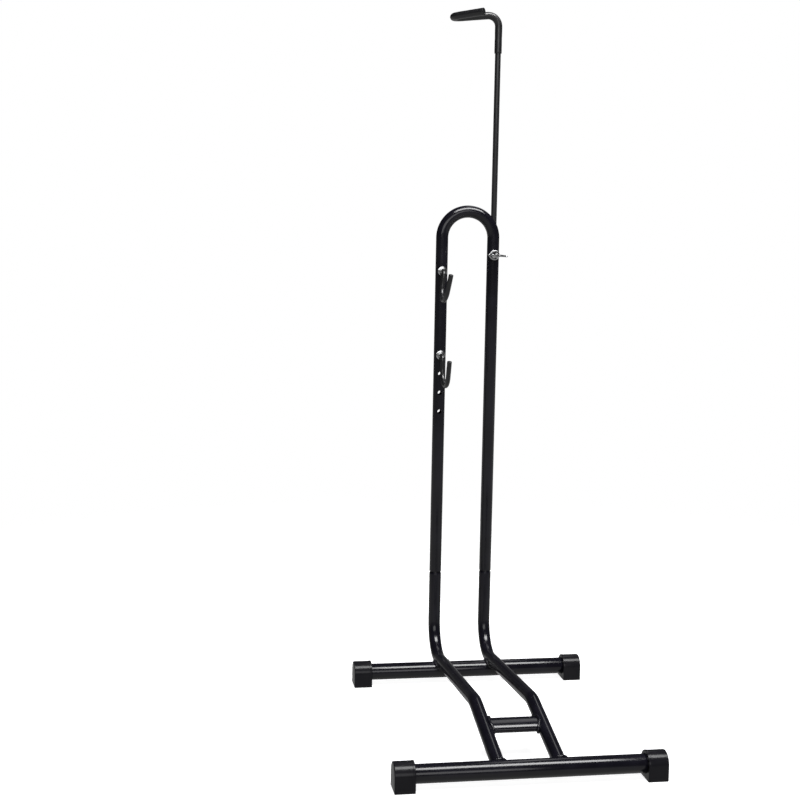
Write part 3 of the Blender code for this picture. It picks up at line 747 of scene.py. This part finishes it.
# %% [markdown]
# A weld bead is a row of frozen puddles. Each puddle half covers the last one, so the bead is a rope of
# steep fronts and flat backs that runs round the joint. The joint's line is where two cylinders meet, and
# a curve with a round bevel follows it, thicker and thinner once for each puddle. The coat then rounds
# everything off.

# %% Weld beads
BEAD_RADIUS = 2.0 * MM
BEAD_STANDOFF = 1.1 * MM
BEAD_PITCH = 1.9 * MM
BEAD_RIPPLE = 0.13
BEAD_MEAN = 0.6
POINTS_PER_PUDDLE = 8
MEASURING_STEPS = 90


def joint_line(turn, tube_radius, host_radius, offset, widening):
    """A point of the line where a tube meets a host bar, whose axis lies offset below the tube's axis."""
    reach = tube_radius + BEAD_STANDOFF
    host = host_radius + BEAD_STANDOFF
    widest = QUARTER_TURN if reach + offset < host else math.asin((host - offset) / reach)
    crossing = widest < QUARTER_TURN
    angle = (widest + QUARTER_TURN) * math.sin(turn) - QUARTER_TURN if crossing else turn
    upward = reach * math.sin(angle)
    along = math.sqrt(max(host**2 - (upward + offset) ** 2, 0.0))
    if crossing and math.cos(turn) < 0.0:
        along = -along
    return Vector(((reach + widening) * math.cos(angle), upward, along))


def bead_mesh(place, tube_radius, host_radius, offset=0.0, widening=0.0):
    """A bead round a joint: the line is measured first, so that a whole number of puddles fits on it."""
    joint = (tube_radius, host_radius, offset, widening)
    turns = [math.tau * step / MEASURING_STEPS for step in range(MEASURING_STEPS + 1)]
    rough = [joint_line(turn, *joint) for turn in turns]
    length = sum((after - before).length for before, after in zip(rough, rough[1:]))
    count = round(length / BEAD_PITCH) * POINTS_PER_PUDDLE
    curve = bpy.data.curves.new("bead", "CURVE")
    curve.dimensions = "3D"
    curve.bevel_depth = BEAD_RADIUS
    curve.bevel_resolution = 4
    spline = curve.splines.new("POLY")
    spline.points.add(count - 1)
    spline.use_cyclic_u = True
    for index, point in enumerate(spline.points):
        spot = joint_line(math.tau * index / count, *joint)
        point.co = (*(place @ spot), 1.0)
        front = (index % POINTS_PER_PUDDLE) / POINTS_PER_PUDDLE
        point.radius = 1.0 + BEAD_RIPPLE * (math.sqrt(1.0 - front) - BEAD_MEAN)
    bead = bpy.data.objects.new("bead", curve)
    mesh = bpy.data.meshes.new_from_object(bead)
    bpy.data.objects.remove(bead)
    bpy.data.curves.remove(curve)
    mesh.shade_smooth()
    return mesh


for side_name, x in (("left", -LEG_X), ("right", LEG_X)):
    place = placing(X_AXIS, ALONG_RISE.cross(-X_AXIS), ALONG_RISE, (x, FRONT_BAR_Y, BAR_Z))
    mesh = bead_mesh(place, TUBE_RADIUS, BAR_RADIUS)
    show(f"{side_name}_rail_front_weld", mesh, "powder_coat", "base")
    drop = OVER_BAR * math.cos(FALL)
    place = placing(X_AXIS, ALONG_FALL.cross(-X_AXIS), ALONG_FALL, (x, REAR_BAR_Y, BAR_Z))
    mesh = bead_mesh(place @ Matrix.Translation(Y_AXIS * drop), TUBE_RADIUS, BAR_RADIUS, offset=drop)
    show(f"{side_name}_rail_rear_weld", mesh, "powder_coat", "base")
    inward = X_AXIS * math.copysign(1.0, -x)
    place = placing(ALONG_RISE, inward.cross(ALONG_RISE), inward, (x, RUNG_Y, RUNG_Z))
    mesh = bead_mesh(place, RUNG_HEIGHT / 2, TUBE_RADIUS, widening=RUNG_WIDENING)
    show(f"{side_name}_rung_weld", mesh, "powder_coat", "base")

# %% [markdown]
# ## The upright
#
# The hoop is a tube bent half round. Five holes go through its left leg for the J-hooks, one hole in its
# right shoulder lets the rod out, and one in front of the right leg takes the threaded insert.

# %% Hoop
UPRIGHT_FOOT = STUB_TOP + SWAGE_LENGTH
HOOP_SPRING = 696.0 * MM
HOLE_RADIUS = 3.5 * MM
HOLE_PITCH = 30.0 * MM
LOWER_HOLES = 4
CLAMP_ROOM = 12.0 * MM
ROD_RADIUS = 4.5 * MM
ROD_PLAY = 0.5 * MM
INSERT_STEM_RADIUS = 4.5 * MM


def hoop_mesh():
    tube = BentBar((-LEG_X, LEG_Y, UPRIGHT_FOOT), Z_AXIS, X_AXIS, TUBE_RADIUS, TUBE_BORE)
    holes = [UPPER_HOLE.z] + [LOWER_HOLE.z - HOLE_PITCH * index for index in range(LOWER_HOLES)]
    below_holes = min(holes) - HOLE_PITCH / 2
    above_holes = max(holes) + HOLE_PITCH / 2
    tube.straight(below_holes - UPRIGHT_FOOT)
    tube.straight(above_holes - below_holes, cuts=150)
    tube.straight(HOOP_SPRING - above_holes)
    tube.bend(LEG_X, math.pi, X_AXIS, steps=96)
    tube.straight(HOOP_SPRING - CLAMP.z - CLAMP_ROOM)
    tube.straight(CLAMP_ROOM * 2, cuts=20)
    tube.straight(CLAMP.z - CLAMP_ROOM - UPRIGHT_FOOT)
    mesh = tube.mesh("hoop", edge=0.3 * MM)

    reach = Y_AXIS * TUBE_RADIUS * 2
    for height in holes:
        middle = Vector((-LEG_X, LEG_Y, height))
        mesh = carve(mesh, bar_between(middle - reach, middle + reach, HOLE_RADIUS, sides=32))
    shoulder = Vector((LEG_X, LEG_Y, HOOP_SPRING))
    above = shoulder + Z_AXIS * LEG_X * 2
    mesh = carve(mesh, bar_between(shoulder, above, ROD_RADIUS + ROD_PLAY, ROD_SIDES))
    return carve(mesh, bar_between(CLAMP, CLAMP - reach, INSERT_STEM_RADIUS + FIT_GAP, ROD_SIDES))


show("upright_hoop", hoop_mesh(), "powder_coat", "upright_frame", "upright")

# %% [markdown]
# ## Screw threads
#
# A thread is a ridge that climbs one pitch for each turn. A plain bar with many rings becomes one when
# each vertex moves in or out by how far its height, less its share of a turn, lies from a ridge. The ends
# stay closed, and the ridge fades out just before them.

# %% Threaded bars
THREAD_RINGS = 8
THREAD_SIDES = 40
THREAD_DEPTH = 0.55
THREAD_FLANK = 2.6
THREAD_FADE = 0.6
THREAD_END_DEPTH = 1.4


def threaded_bar(name, radius, pitch, length):
    """A bar along +Z from the origin, with a thread along its whole length."""
    depth = pitch * THREAD_DEPTH
    bar = BentBar((0.0, 0.0, 0.0), Z_AXIS, X_AXIS, radius, sides=THREAD_SIDES)
    bar.straight(length, cuts=math.ceil(length / pitch * THREAD_RINGS))
    for vert in bar.work.verts:
        turn = math.atan2(vert.co.y, vert.co.x) / math.tau
        wave = (vert.co.z / pitch - turn) % 1.0
        cut = min(abs(wave - 0.5) * THREAD_FLANK, 1.0) * depth
        from_end = min(vert.co.z, length - vert.co.z) / pitch
        cut += max(0.0, THREAD_FADE - from_end) * depth
        vert.co.xy = vert.co.xy.normalized() * (radius - min(cut, depth * THREAD_END_DEPTH))
    return bar.mesh(name)


print("a thread has", THREAD_RINGS, "rings in each pitch and", THREAD_SIDES, "sides")

# %% [markdown]
# ## The J-hooks
#
# Each is one wire: a threaded end goes through the leg and is held by a nut and washer on each side, then
# the wire bends down, round a cradle and up to a flared tip. A sleeve of soft plastic covers it, so that
# it doesn't scratch what hangs in it. Wire and sleeve take the same bends, so one function drives both.

# %% Sizes of the J-hooks
WIRE_RADIUS = 2.5 * MM
WIRE_PLAIN_RADIUS = WIRE_RADIUS * 0.93
WIRE_PITCH = 0.8 * MM
WIRE_SLEEVE_WALL = 0.9 * MM
WIRE_REACH = 25.0 * MM
WIRE_BEND_RADIUS = 8.0 * MM
CRADLE_RADIUS = 25.0 * MM
CRADLE_DROP = 44.0 * MM
CRADLE_FLARE = math.radians(18.0)
WIRE_TIP_LENGTH = 24.0 * MM
UPPER_SWING = math.radians(7.0)
WASHER_RADIUS = 7.5 * MM
WASHER_THICKNESS = 1.2 * MM
WASHER_STANDOFF = TUBE_RADIUS + FIT_GAP
NUT_FLATS = 8.0 * MM
NUT_HEIGHT = 4.0 * MM
NUT_STANDOFF = WASHER_STANDOFF + WASHER_THICKNESS + FIT_GAP
NUT_FACE = NUT_STANDOFF + NUT_HEIGHT
STUD_BACK = NUT_FACE + 2.7 * MM


def hook_bends(bar):
    bar.bend(WIRE_BEND_RADIUS, QUARTER_TURN, -Z_AXIS, steps=20)
    bar.straight(CRADLE_DROP - CRADLE_RADIUS - WIRE_BEND_RADIUS, cuts=6)
    bar.bend(CRADLE_RADIUS, math.pi - CRADLE_FLARE, -Y_AXIS, steps=60)


print("the nuts' outer faces are", round(NUT_FACE * 2 / MM, 1), "mm apart")

# %% [markdown]
# The wire is bare zinc only at its threaded end. The rest is under a sleeve that is closed at the tip, so
# a thin lid with a rounded edge, turned on the lathe, ends it. The threaded end is a mesh of its own,
# joined to the wire.

# %% Wires and sleeves
LID_THICKNESS = 0.4 * MM
LUMP_LENGTH = 9.0 * MM
LUMP_DEPTH = 0.16 * MM
FACING_FRONT = Matrix.Rotation(QUARTER_TURN, 4, "X")


def quarter_round(radius, foot, round_off, steps=5):
    """The points of a rounded edge on a lathe, from the side up to the top."""
    angles = [QUARTER_TURN * step / steps for step in range(steps + 1)]
    inner = radius - round_off
    return [(inner + round_off * math.cos(angle), foot + round_off * math.sin(angle)) for angle in angles]


def waver(mesh, depth):
    """Push a sleeve's walls in and out a little, in smooth lumps about a centimetre long."""
    for vert in mesh.vertices:
        vert.co += vert.normal * (noise.noise(vert.co / LUMP_LENGTH) * depth)
    return mesh


def join(*meshes):
    """Several meshes in one, each a shell of its own."""
    work = bmesh.new()
    for mesh in meshes:
        work.from_mesh(mesh)
    return shade(store(work, meshes[0].name))


def wire_mesh():
    wire = BentBar(-Y_AXIS * NUT_STANDOFF, -Y_AXIS, X_AXIS, WIRE_PLAIN_RADIUS, sides=ROD_SIDES)
    wire.straight(WIRE_REACH - WIRE_BEND_RADIUS - NUT_STANDOFF, cuts=4)
    hook_bends(wire)
    wire.straight(WIRE_TIP_LENGTH, cuts=8)
    stud = threaded_bar("stud", WIRE_RADIUS, WIRE_PITCH, STUD_BACK + NUT_FACE)
    stud.transform(Matrix.Translation(Y_AXIS * STUD_BACK) @ FACING_FRONT)
    return join(wire.mesh("wire", edge=0.4 * MM), stud)


def wire_sleeve_mesh():
    start = NUT_FACE + FIT_GAP
    outer = WIRE_RADIUS + FIT_GAP + WIRE_SLEEVE_WALL
    sleeve = BentBar(-Y_AXIS * start, -Y_AXIS, X_AXIS, outer, WIRE_RADIUS + SLACK, ROD_SIDES)
    sleeve.straight(WIRE_REACH - WIRE_BEND_RADIUS - start, cuts=3)
    hook_bends(sleeve)
    sleeve.straight(WIRE_TIP_LENGTH + SLACK, cuts=12)
    rim = quarter_round(outer, HAIRLINE, LID_THICKNESS)
    lid = turned("lid", [(0.0, 0.0), (outer, 0.0), *rim, (0.0, HAIRLINE + LID_THICKNESS)], ROD_SIDES)
    facing = sleeve.heading.to_track_quat("Z", "X").to_matrix().to_4x4()
    lid.transform(Matrix.Translation(sleeve.at) @ facing)
    return waver(join(sleeve.mesh("wire_sleeve"), lid), LUMP_DEPTH / 2)


for name, hole, swing in (("upper_hook", UPPER_HOLE, UPPER_SWING), ("lower_hook", LOWER_HOLE, 0.0)):
    place = Matrix.Translation(hole) @ Matrix.Rotation(swing, 4, "Y")
    show(f"{name}_bent_wire", wire_mesh(), "bright_zinc", name, f"{name}_wire", place=place)
    show(f"{name}_soft_sleeve", wire_sleeve_mesh(), "sleeve_plastic", name, f"{name}_sleeve", place=place)

# %% [markdown]
# A washer is punched from sheet, so its upper edge is rounded and its lower one keen. A nut is a
# hexagonal bar whose corners are turned off at 30 degrees: the part of a hexagon that lies inside a
# turned barrel. The bar is longer than the barrel, so that no two of their faces lie on each other.

# %% Washers and nuts
WASHER_EDGE = 0.35 * MM
WASHER_EDGE_MIDDLE = WASHER_EDGE * 0.3
NUT_CHAMFER = 0.4 * MM
NUT_SLOPE = math.radians(30.0)
FACING_REAR = Matrix.Rotation(-QUARTER_TURN, 4, "X")


def washer_mesh():
    top = WASHER_THICKNESS
    outline = [
        (0.0, 0.0),
        (WASHER_RADIUS, 0.0),
        (WASHER_RADIUS, top - WASHER_EDGE),
        (WASHER_RADIUS - WASHER_EDGE_MIDDLE, top - WASHER_EDGE_MIDDLE),
        (WASHER_RADIUS - WASHER_EDGE, top),
        (0.0, top),
    ]
    hole = bar_between(Z_AXIS * -MM, Z_AXIS * top * 2, WIRE_RADIUS + FIT_GAP, ROD_SIDES)
    return carve(turned("washer", outline), hole)


def nut_mesh():
    corner = NUT_FLATS / 2 / math.cos(math.pi / 6)
    flat = NUT_FLATS / 2 * 0.97
    drop = (corner - flat) * math.tan(NUT_SLOPE)
    hexagon = bar_between(Z_AXIS * -MM, Z_AXIS * (NUT_HEIGHT + MM), corner, sides=6)
    outline = [
        (0.0, 0.0),
        (flat, 0.0),
        (corner + SLACK, drop),
        (corner + SLACK, NUT_HEIGHT - drop),
        (flat, NUT_HEIGHT),
        (0.0, NUT_HEIGHT),
    ]
    mesh = carve(hexagon, turned("barrel", outline), "INTERSECT")
    return carve(mesh, flared_drill(WIRE_RADIUS + HAIRLINE, NUT_HEIGHT, NUT_CHAMFER, through=True))


for end_name, hole in (("upper", UPPER_HOLE), ("lower", LOWER_HOLE)):
    for face_name, outward, facing in (("front", -Y_AXIS, FACING_FRONT), ("rear", Y_AXIS, FACING_REAR)):
        name = f"{end_name}_hook_{face_name}_washer"
        place = Matrix.Translation(hole + outward * WASHER_STANDOFF) @ facing
        show(f"{name}_disc", washer_mesh(), "bright_zinc", "upright_frame", name, place=place)
        name = f"{end_name}_hook_{face_name}_nut"
        place = Matrix.Translation(hole + outward * NUT_STANDOFF) @ facing
        show(f"{name}_hexagon", nut_mesh(), "bright_zinc", "upright_frame", name, place=place)

# %% [markdown]
# ## The hook rod
#
# The rod rises out of the shoulder, bends over to the left and hooks round towards the front. It takes
# the same bends as its sleeve, which reaches a little way down the straight part.

# %% Hook rod and its sleeve
ROD_FOOT_Z = 460.0 * MM
ROD_SLEEVE_WALL = 0.85 * MM
ROD_BEND_RADIUS = 16.0 * MM
ROD_DROOP = math.radians(6.0)
HOOK_RUN = 42.0 * MM
HOOK_TURN_RADIUS = 14.0 * MM
HOOK_TURN = math.radians(142.0)
HOOK_RETURN = 42.0 * MM
SLEEVE_DROP = 56.5 * MM
SLEEVE_OVERHANG = 0.5 * MM


def rod_bends(bar):
    bar.bend(ROD_BEND_RADIUS, QUARTER_TURN + ROD_DROOP, -X_AXIS, steps=40)
    bar.straight(HOOK_RUN, cuts=14)
    bar.bend(HOOK_TURN_RADIUS, HOOK_TURN, -Y_AXIS, steps=48)


def hook_rod_mesh():
    foot = Vector((LEG_X, LEG_Y, ROD_FOOT_Z))
    rod = BentBar(foot, Z_AXIS, X_AXIS, ROD_RADIUS, sides=ROD_SIDES)
    rod.straight(HOOK_TOP.z - ROD_BEND_RADIUS - ROD_FOOT_Z)
    rod_bends(rod)
    rod.straight(HOOK_RETURN, cuts=4)
    return rod.mesh("hook_rod", edge=0.6 * MM)


def hook_sleeve_mesh():
    foot = HOOK_TOP - Z_AXIS * SLEEVE_DROP
    outer = ROD_RADIUS + FIT_GAP + ROD_SLEEVE_WALL
    sleeve = BentBar(foot, Z_AXIS, X_AXIS, outer, ROD_RADIUS + SLACK, ROD_SIDES)
    sleeve.straight(SLEEVE_DROP - ROD_BEND_RADIUS, cuts=16)
    rod_bends(sleeve)
    sleeve.straight(HOOK_RETURN + SLEEVE_OVERHANG, cuts=14)
    return waver(sleeve.mesh("hook_sleeve", edge=0.25 * MM), LUMP_DEPTH)


show("hook_rod_bar", hook_rod_mesh(), "rod_coat", "top_hook", "hook_rod")
show("hook_soft_sleeve", hook_sleeve_mesh(), "sleeve_plastic", "top_hook", "hook_sleeve")

# %% [markdown]
# ## The clamp
#
# The insert is a turned collar with a threaded hole, whose back is hollowed to sit on the round leg. It
# is turned on the lathe as a full disc, and the leg, the stem and the hole are then cut from it or joined
# to it.

# %% Threaded insert
FLANGE_RADIUS = 8.0 * MM
FLANGE_THICKNESS = 2.5 * MM
FLANGE_EDGE = 0.6 * MM
STEM_INTRUSION = 1.8 * MM
SCREW_RADIUS = 3.0 * MM
SCREW_PITCH = 1.0 * MM
RECESS_RADIUS = SCREW_RADIUS + 1.2 * MM
RECESS_SLOPE = 0.4 * MM
RECESS_DEPTH = 0.3 * MM
LEG_REACH = Y_AXIS * 20.0 * MM


def insert_mesh():
    face = TUBE_RADIUS + FLANGE_THICKNESS
    stem_foot = TUBE_BORE - STEM_INTRUSION
    outline = [
        (0.0, 0.0),
        (FLANGE_RADIUS, 0.0),
        *quarter_round(FLANGE_RADIUS, face - FLANGE_EDGE, FLANGE_EDGE),
        (RECESS_RADIUS + RECESS_SLOPE, face),
        (RECESS_RADIUS, face - RECESS_DEPTH),
        (0.0, face - RECESS_DEPTH),
    ]
    collar = carve(turned("insert", outline), bar_between(-LEG_REACH, LEG_REACH, TUBE_RADIUS + HAIRLINE))
    radius, top = INSERT_STEM_RADIUS, face - MM
    stem = turned("stem", [(0.0, stem_foot), (radius, stem_foot), (radius, top), (0.0, top)])
    collar = carve(collar, stem, "UNION")
    return carve(collar, bar_between(Vector(), Z_AXIS * face * 2, SCREW_RADIUS + SLACK, ROD_SIDES))


place = Matrix.Translation(CLAMP) @ FACING_FRONT
show("clamp_insert_collar", insert_mesh(), "bright_zinc", "upright_frame", "clamp_insert", place=place)

# %% [markdown]
# The wing screw turns in the insert. Its ears are cast in one with the boss, so every corner between them
# is a soft fillet. A coarse cage and a Subdivision Surface give just that: the cage is a cube, one side
# of which is pulled out in three steps, along the arm and over the ear. The two ears and the boss become
# one by a Boolean.

# %% Wing screw
SCREW_PROUD = 8.0 * MM
SCREW_TIP = ROD_RADIUS + FIT_GAP
BOSS_FOOT = TUBE_RADIUS + FLANGE_THICKNESS + SCREW_PROUD
BOSS_RADIUS = 6.0 * MM
BOSS_HEIGHT = 10.0 * MM
BOSS_EDGE = 0.5 * MM
BOSS_STEPS = 8
WAIST_RADIUS = BOSS_RADIUS * 0.72
WAIST_START = BOSS_HEIGHT * 0.25
WAIST_LENGTH = BOSS_HEIGHT * 0.6
DOME_RADIUS = WAIST_RADIUS * 0.75
DOME_HEIGHT = BOSS_HEIGHT * 0.97
ROOT_SIZE = (2.5 * MM, 4.8 * MM, 6.5 * MM)
ROOT_PLACE = (BOSS_RADIUS * 0.45, 0.0, BOSS_FOOT + BOSS_HEIGHT * 0.45)
WING_SPAN = 33.0 * MM
WING_RISE = 13.0 * MM
EAR_RADIUS = 5.0 * MM
EAR_THICKNESS = 3.0 * MM
EAR_X = WING_SPAN / 2 - EAR_RADIUS
EAR_Z = BOSS_FOOT + WING_RISE
REST_TURN = math.radians(5.0)


def boss_mesh():
    outline = [(0.0, BOSS_FOOT), (BOSS_RADIUS - BOSS_EDGE, BOSS_FOOT), (BOSS_RADIUS, BOSS_FOOT + BOSS_EDGE)]
    for step in range(BOSS_STEPS + 1):
        share = step / BOSS_STEPS
        radius = BOSS_RADIUS + (WAIST_RADIUS - BOSS_RADIUS) * math.sin(share * QUARTER_TURN)
        outline.append((radius, BOSS_FOOT + WAIST_START + WAIST_LENGTH * share))
    outline += [(DOME_RADIUS, BOSS_FOOT + DOME_HEIGHT), (0.0, BOSS_FOOT + BOSS_HEIGHT)]
    return turned("boss", outline)


def wing_mesh(side):
    """One ear: a disc on a web that grows out of the boss, smoothed as a casting."""
    work = bmesh.new()
    bmesh.ops.create_cube(work, size=1.0)
    root = Matrix.Translation(ROOT_PLACE) @ Matrix.Diagonal((*ROOT_SIZE, 1.0))
    bmesh.ops.transform(work, verts=work.verts, matrix=root)
    outer = [face for face in work.faces if face.normal.x > 0.9]
    stations = [
        (EAR_X - EAR_RADIUS * 0.85, EAR_Z - EAR_RADIUS * 0.95, 3.6 * MM, 7.0 * MM),
        (EAR_X - EAR_RADIUS * 0.10, EAR_Z - EAR_RADIUS * 0.15, EAR_THICKNESS * 1.1, 11.0 * MM),
        (EAR_X + EAR_RADIUS * 1.02, EAR_Z + EAR_RADIUS * 0.15, EAR_THICKNESS * 1.2, 8.6 * MM),
    ]
    for x, z, thickness, height in stations:
        ring, outer = extrude(work, outer)
        middle = sum(vert.co.z for vert in ring) / len(ring)
        for vert in ring:
            over = math.copysign(height / 2, vert.co.z - middle)
            vert.co = (x, math.copysign(thickness / 2, vert.co.y), z + over)
    bmesh.ops.scale(work, verts=work.verts, vec=(side, 1.0, 1.0))
    bmesh.ops.recalc_face_normals(work, faces=work.faces)
    cage = new_object("cage", store(work, "wing"))
    smoother = cage.modifiers.new("smooth", "SUBSURF")
    smoother.levels = 3
    smoother.render_levels = 3
    result = evaluated(cage)
    bpy.data.objects.remove(cage)
    return result


def wing_screw_mesh():
    shank = threaded_bar("shank", SCREW_RADIUS, SCREW_PITCH, BOSS_FOOT + MM - SCREW_TIP)
    shank.transform(Matrix.Translation(Z_AXIS * SCREW_TIP))
    head = boss_mesh()
    for side in (-1, 1):
        head = carve(head, wing_mesh(side), "UNION")
    return join(head, shank)


place = Matrix.Translation(CLAMP) @ Matrix.Rotation(REST_TURN, 4, "Y") @ FACING_FRONT
show("wing_screw_cast", wing_screw_mesh(), "bright_zinc", "clamp_screw", "wing_screw", place=place)

# %% [markdown]
# The plug on the rod's lower end is hidden inside the leg. The model's own solid is fine enough for it,
# so it stays and only gets the finish of a moulding.

# %% Plug inside the leg
plug = frame["nodes"]["rod_end_plug"]
plug.data.materials.clear()
plug.data.materials.append(FINISHES["foot_moulding"])
print("kept from the model:", plug.name)

# %% [markdown]
# ## Studio
#
# The stand was photographed on white. The floor could be a plain white plane, but it would go grey far
# from the lights. So this one glows by itself, keeps a faint shadow under the stand, and grows clear
# towards its edge, where the white world takes over. Reflections don't see it, because the world has a
# pale floor for them.

# %% Floor
FLOOR_SIZE = 8.0
FLOOR_DROP = 0.2 * MM
FLOOR_PAINT = (0.60, 0.60, 0.61, 1.0)
FLOOR_GLOW = 0.92

finish = Finish("pale floor")
place = finish.make("ShaderNodeTexCoord", output="Object")
distance = finish.make("ShaderNodeVectorMath", {"operation": "LENGTH"}, {0: place}, output="Value")
fade = finish.ramp(distance * (1.0 / FLOOR_SIZE), low=0.08, high=0.20)
clear = finish.make("ShaderNodeBsdfTransparent")
paint = Signal(finish, finish.surface.outputs[0])
sockets = {
    "Base Color": FLOOR_PAINT,
    "Roughness": 0.8,
    "Specular IOR Level": 0.0,
    "Emission Color": (1.0, 1.0, 1.0, 1.0),
    "Emission Strength": FLOOR_GLOW,
}
finish.wire(finish.surface, sockets)
blend = finish.make("ShaderNodeMixShader", {}, {0: fade, 1: paint, 2: clear})
finish.wire(finish.tree.nodes["Material Output"], {"Surface": blend})

work = bmesh.new()
bmesh.ops.create_grid(work, x_segments=1, y_segments=1, size=FLOOR_SIZE / 2)
mesh = store(work, "floor")
mesh.transform(Matrix.Translation(-Z_AXIS * FLOOR_DROP))
mesh.materials.append(finish.owner)
floor = new_object("floor", mesh)
floor.visible_glossy = False
floor.visible_diffuse = False
print("floor:", FLOOR_SIZE, "m square")

# %% [markdown]
# Three soft boxes light the stand. The big one overhead hangs slightly to the front and draws the bright
# line along the upper side of each tube. A wide one far in front gives the tubes their second, dimmer
# line, and a narrow one behind touches the rims. The rest of the room is dim, so that the coat stays
# black.

# %% Lights
def soft_box(name, place, aim, width, height, power):
    light = bpy.data.lights.new(name, "AREA")
    light.shape = "RECTANGLE"
    light.size = width
    light.size_y = height
    light.energy = power
    lamp = new_object(name, light)
    lamp.location = place
    lamp.rotation_euler = (Vector(aim) - Vector(place)).to_track_quat("-Z", "Y").to_euler()
    print(f"{name} box: {width} by {height} m, {power} W")


soft_box("overhead", place=(0.55, -0.88, 2.9), aim=(0.45, -0.10, 0.0), width=2.5, height=1.15, power=135.0)
soft_box("front", place=(-1.5, -10.0, 3.4), aim=(0.0, 0.0, 0.4), width=8.5, height=3.8, power=230.0)
soft_box("behind", place=(0.80, 1.75, 2.8), aim=(0.0, -0.14, 0.0), width=0.55, height=1.8, power=4.4)

# %% [markdown]
# The world does two jobs. The camera sees it as plain white, and every reflection sees a dim room: a pale
# floor below, which grows darker towards the horizon, and almost black walls and ceiling above.

# %% World
ROOM_STOPS = [(0.20, 0.44), (0.40, 0.40), (0.455, 0.14), (0.52, 0.06), (0.70, 0.03)]

room = Network(bpy.data.worlds.new("studio"))
room.tree.nodes.clear()
heading = room.make("ShaderNodeTexCoord", output="Generated")
height = room.make("ShaderNodeSeparateXYZ", {}, {"Vector": heading}, output="Z")
level = room.make("ShaderNodeValToRGB", {"stops": ROOM_STOPS}, {"Fac": height * 0.5 + 0.5})
dim = room.make("ShaderNodeBackground", {}, {"Color": level})
white = room.make("ShaderNodeBackground", {}, {"Color": (1.0, 1.0, 1.0, 1.0)})
seen = room.make("ShaderNodeLightPath", output="Is Camera Ray")
either = room.make("ShaderNodeMixShader", {}, {0: seen, 1: dim, 2: white})
room.make("ShaderNodeOutputWorld", {}, {"Surface": either})
bpy.context.scene.world = room.owner
bpy.context.scene.view_settings.view_transform = "Standard"
print("world:", bpy.context.scene.world.name)

# %% [markdown]
# The camera's place, angles and lens were fitted to where the ends of the crossbars, the legs, the rod
# and the hooks lie in the photograph. Three directions make its matrix: its right, its up and its back.

# %% Camera
PHOTO_SIZE = 800
FOCAL_PIXELS = 1369.7
SENSOR = 36.0
CAMERA_PLACE = Vector((-444.2, -1886.05, 711.6)) * MM
CAMERA_YAW = -0.1591
CAMERA_PITCH = 0.1258
CAMERA_ROLL = -0.0172

camera_data = bpy.data.cameras.new("camera")
camera_data.sensor_width = SENSOR
camera_data.lens = SENSOR * FOCAL_PIXELS / PHOTO_SIZE
camera = new_object("camera", camera_data)
turn = Matrix.Rotation(CAMERA_YAW, 3, "Z") @ Matrix.Rotation(-CAMERA_PITCH, 3, "X")
turn = turn @ Matrix.Rotation(CAMERA_ROLL, 3, "Y")
camera.matrix_world = placing(turn.col[0], turn.col[2], -turn.col[1], CAMERA_PLACE)
bpy.context.scene.camera = camera
print("lens:", round(camera_data.lens, 1), "mm")
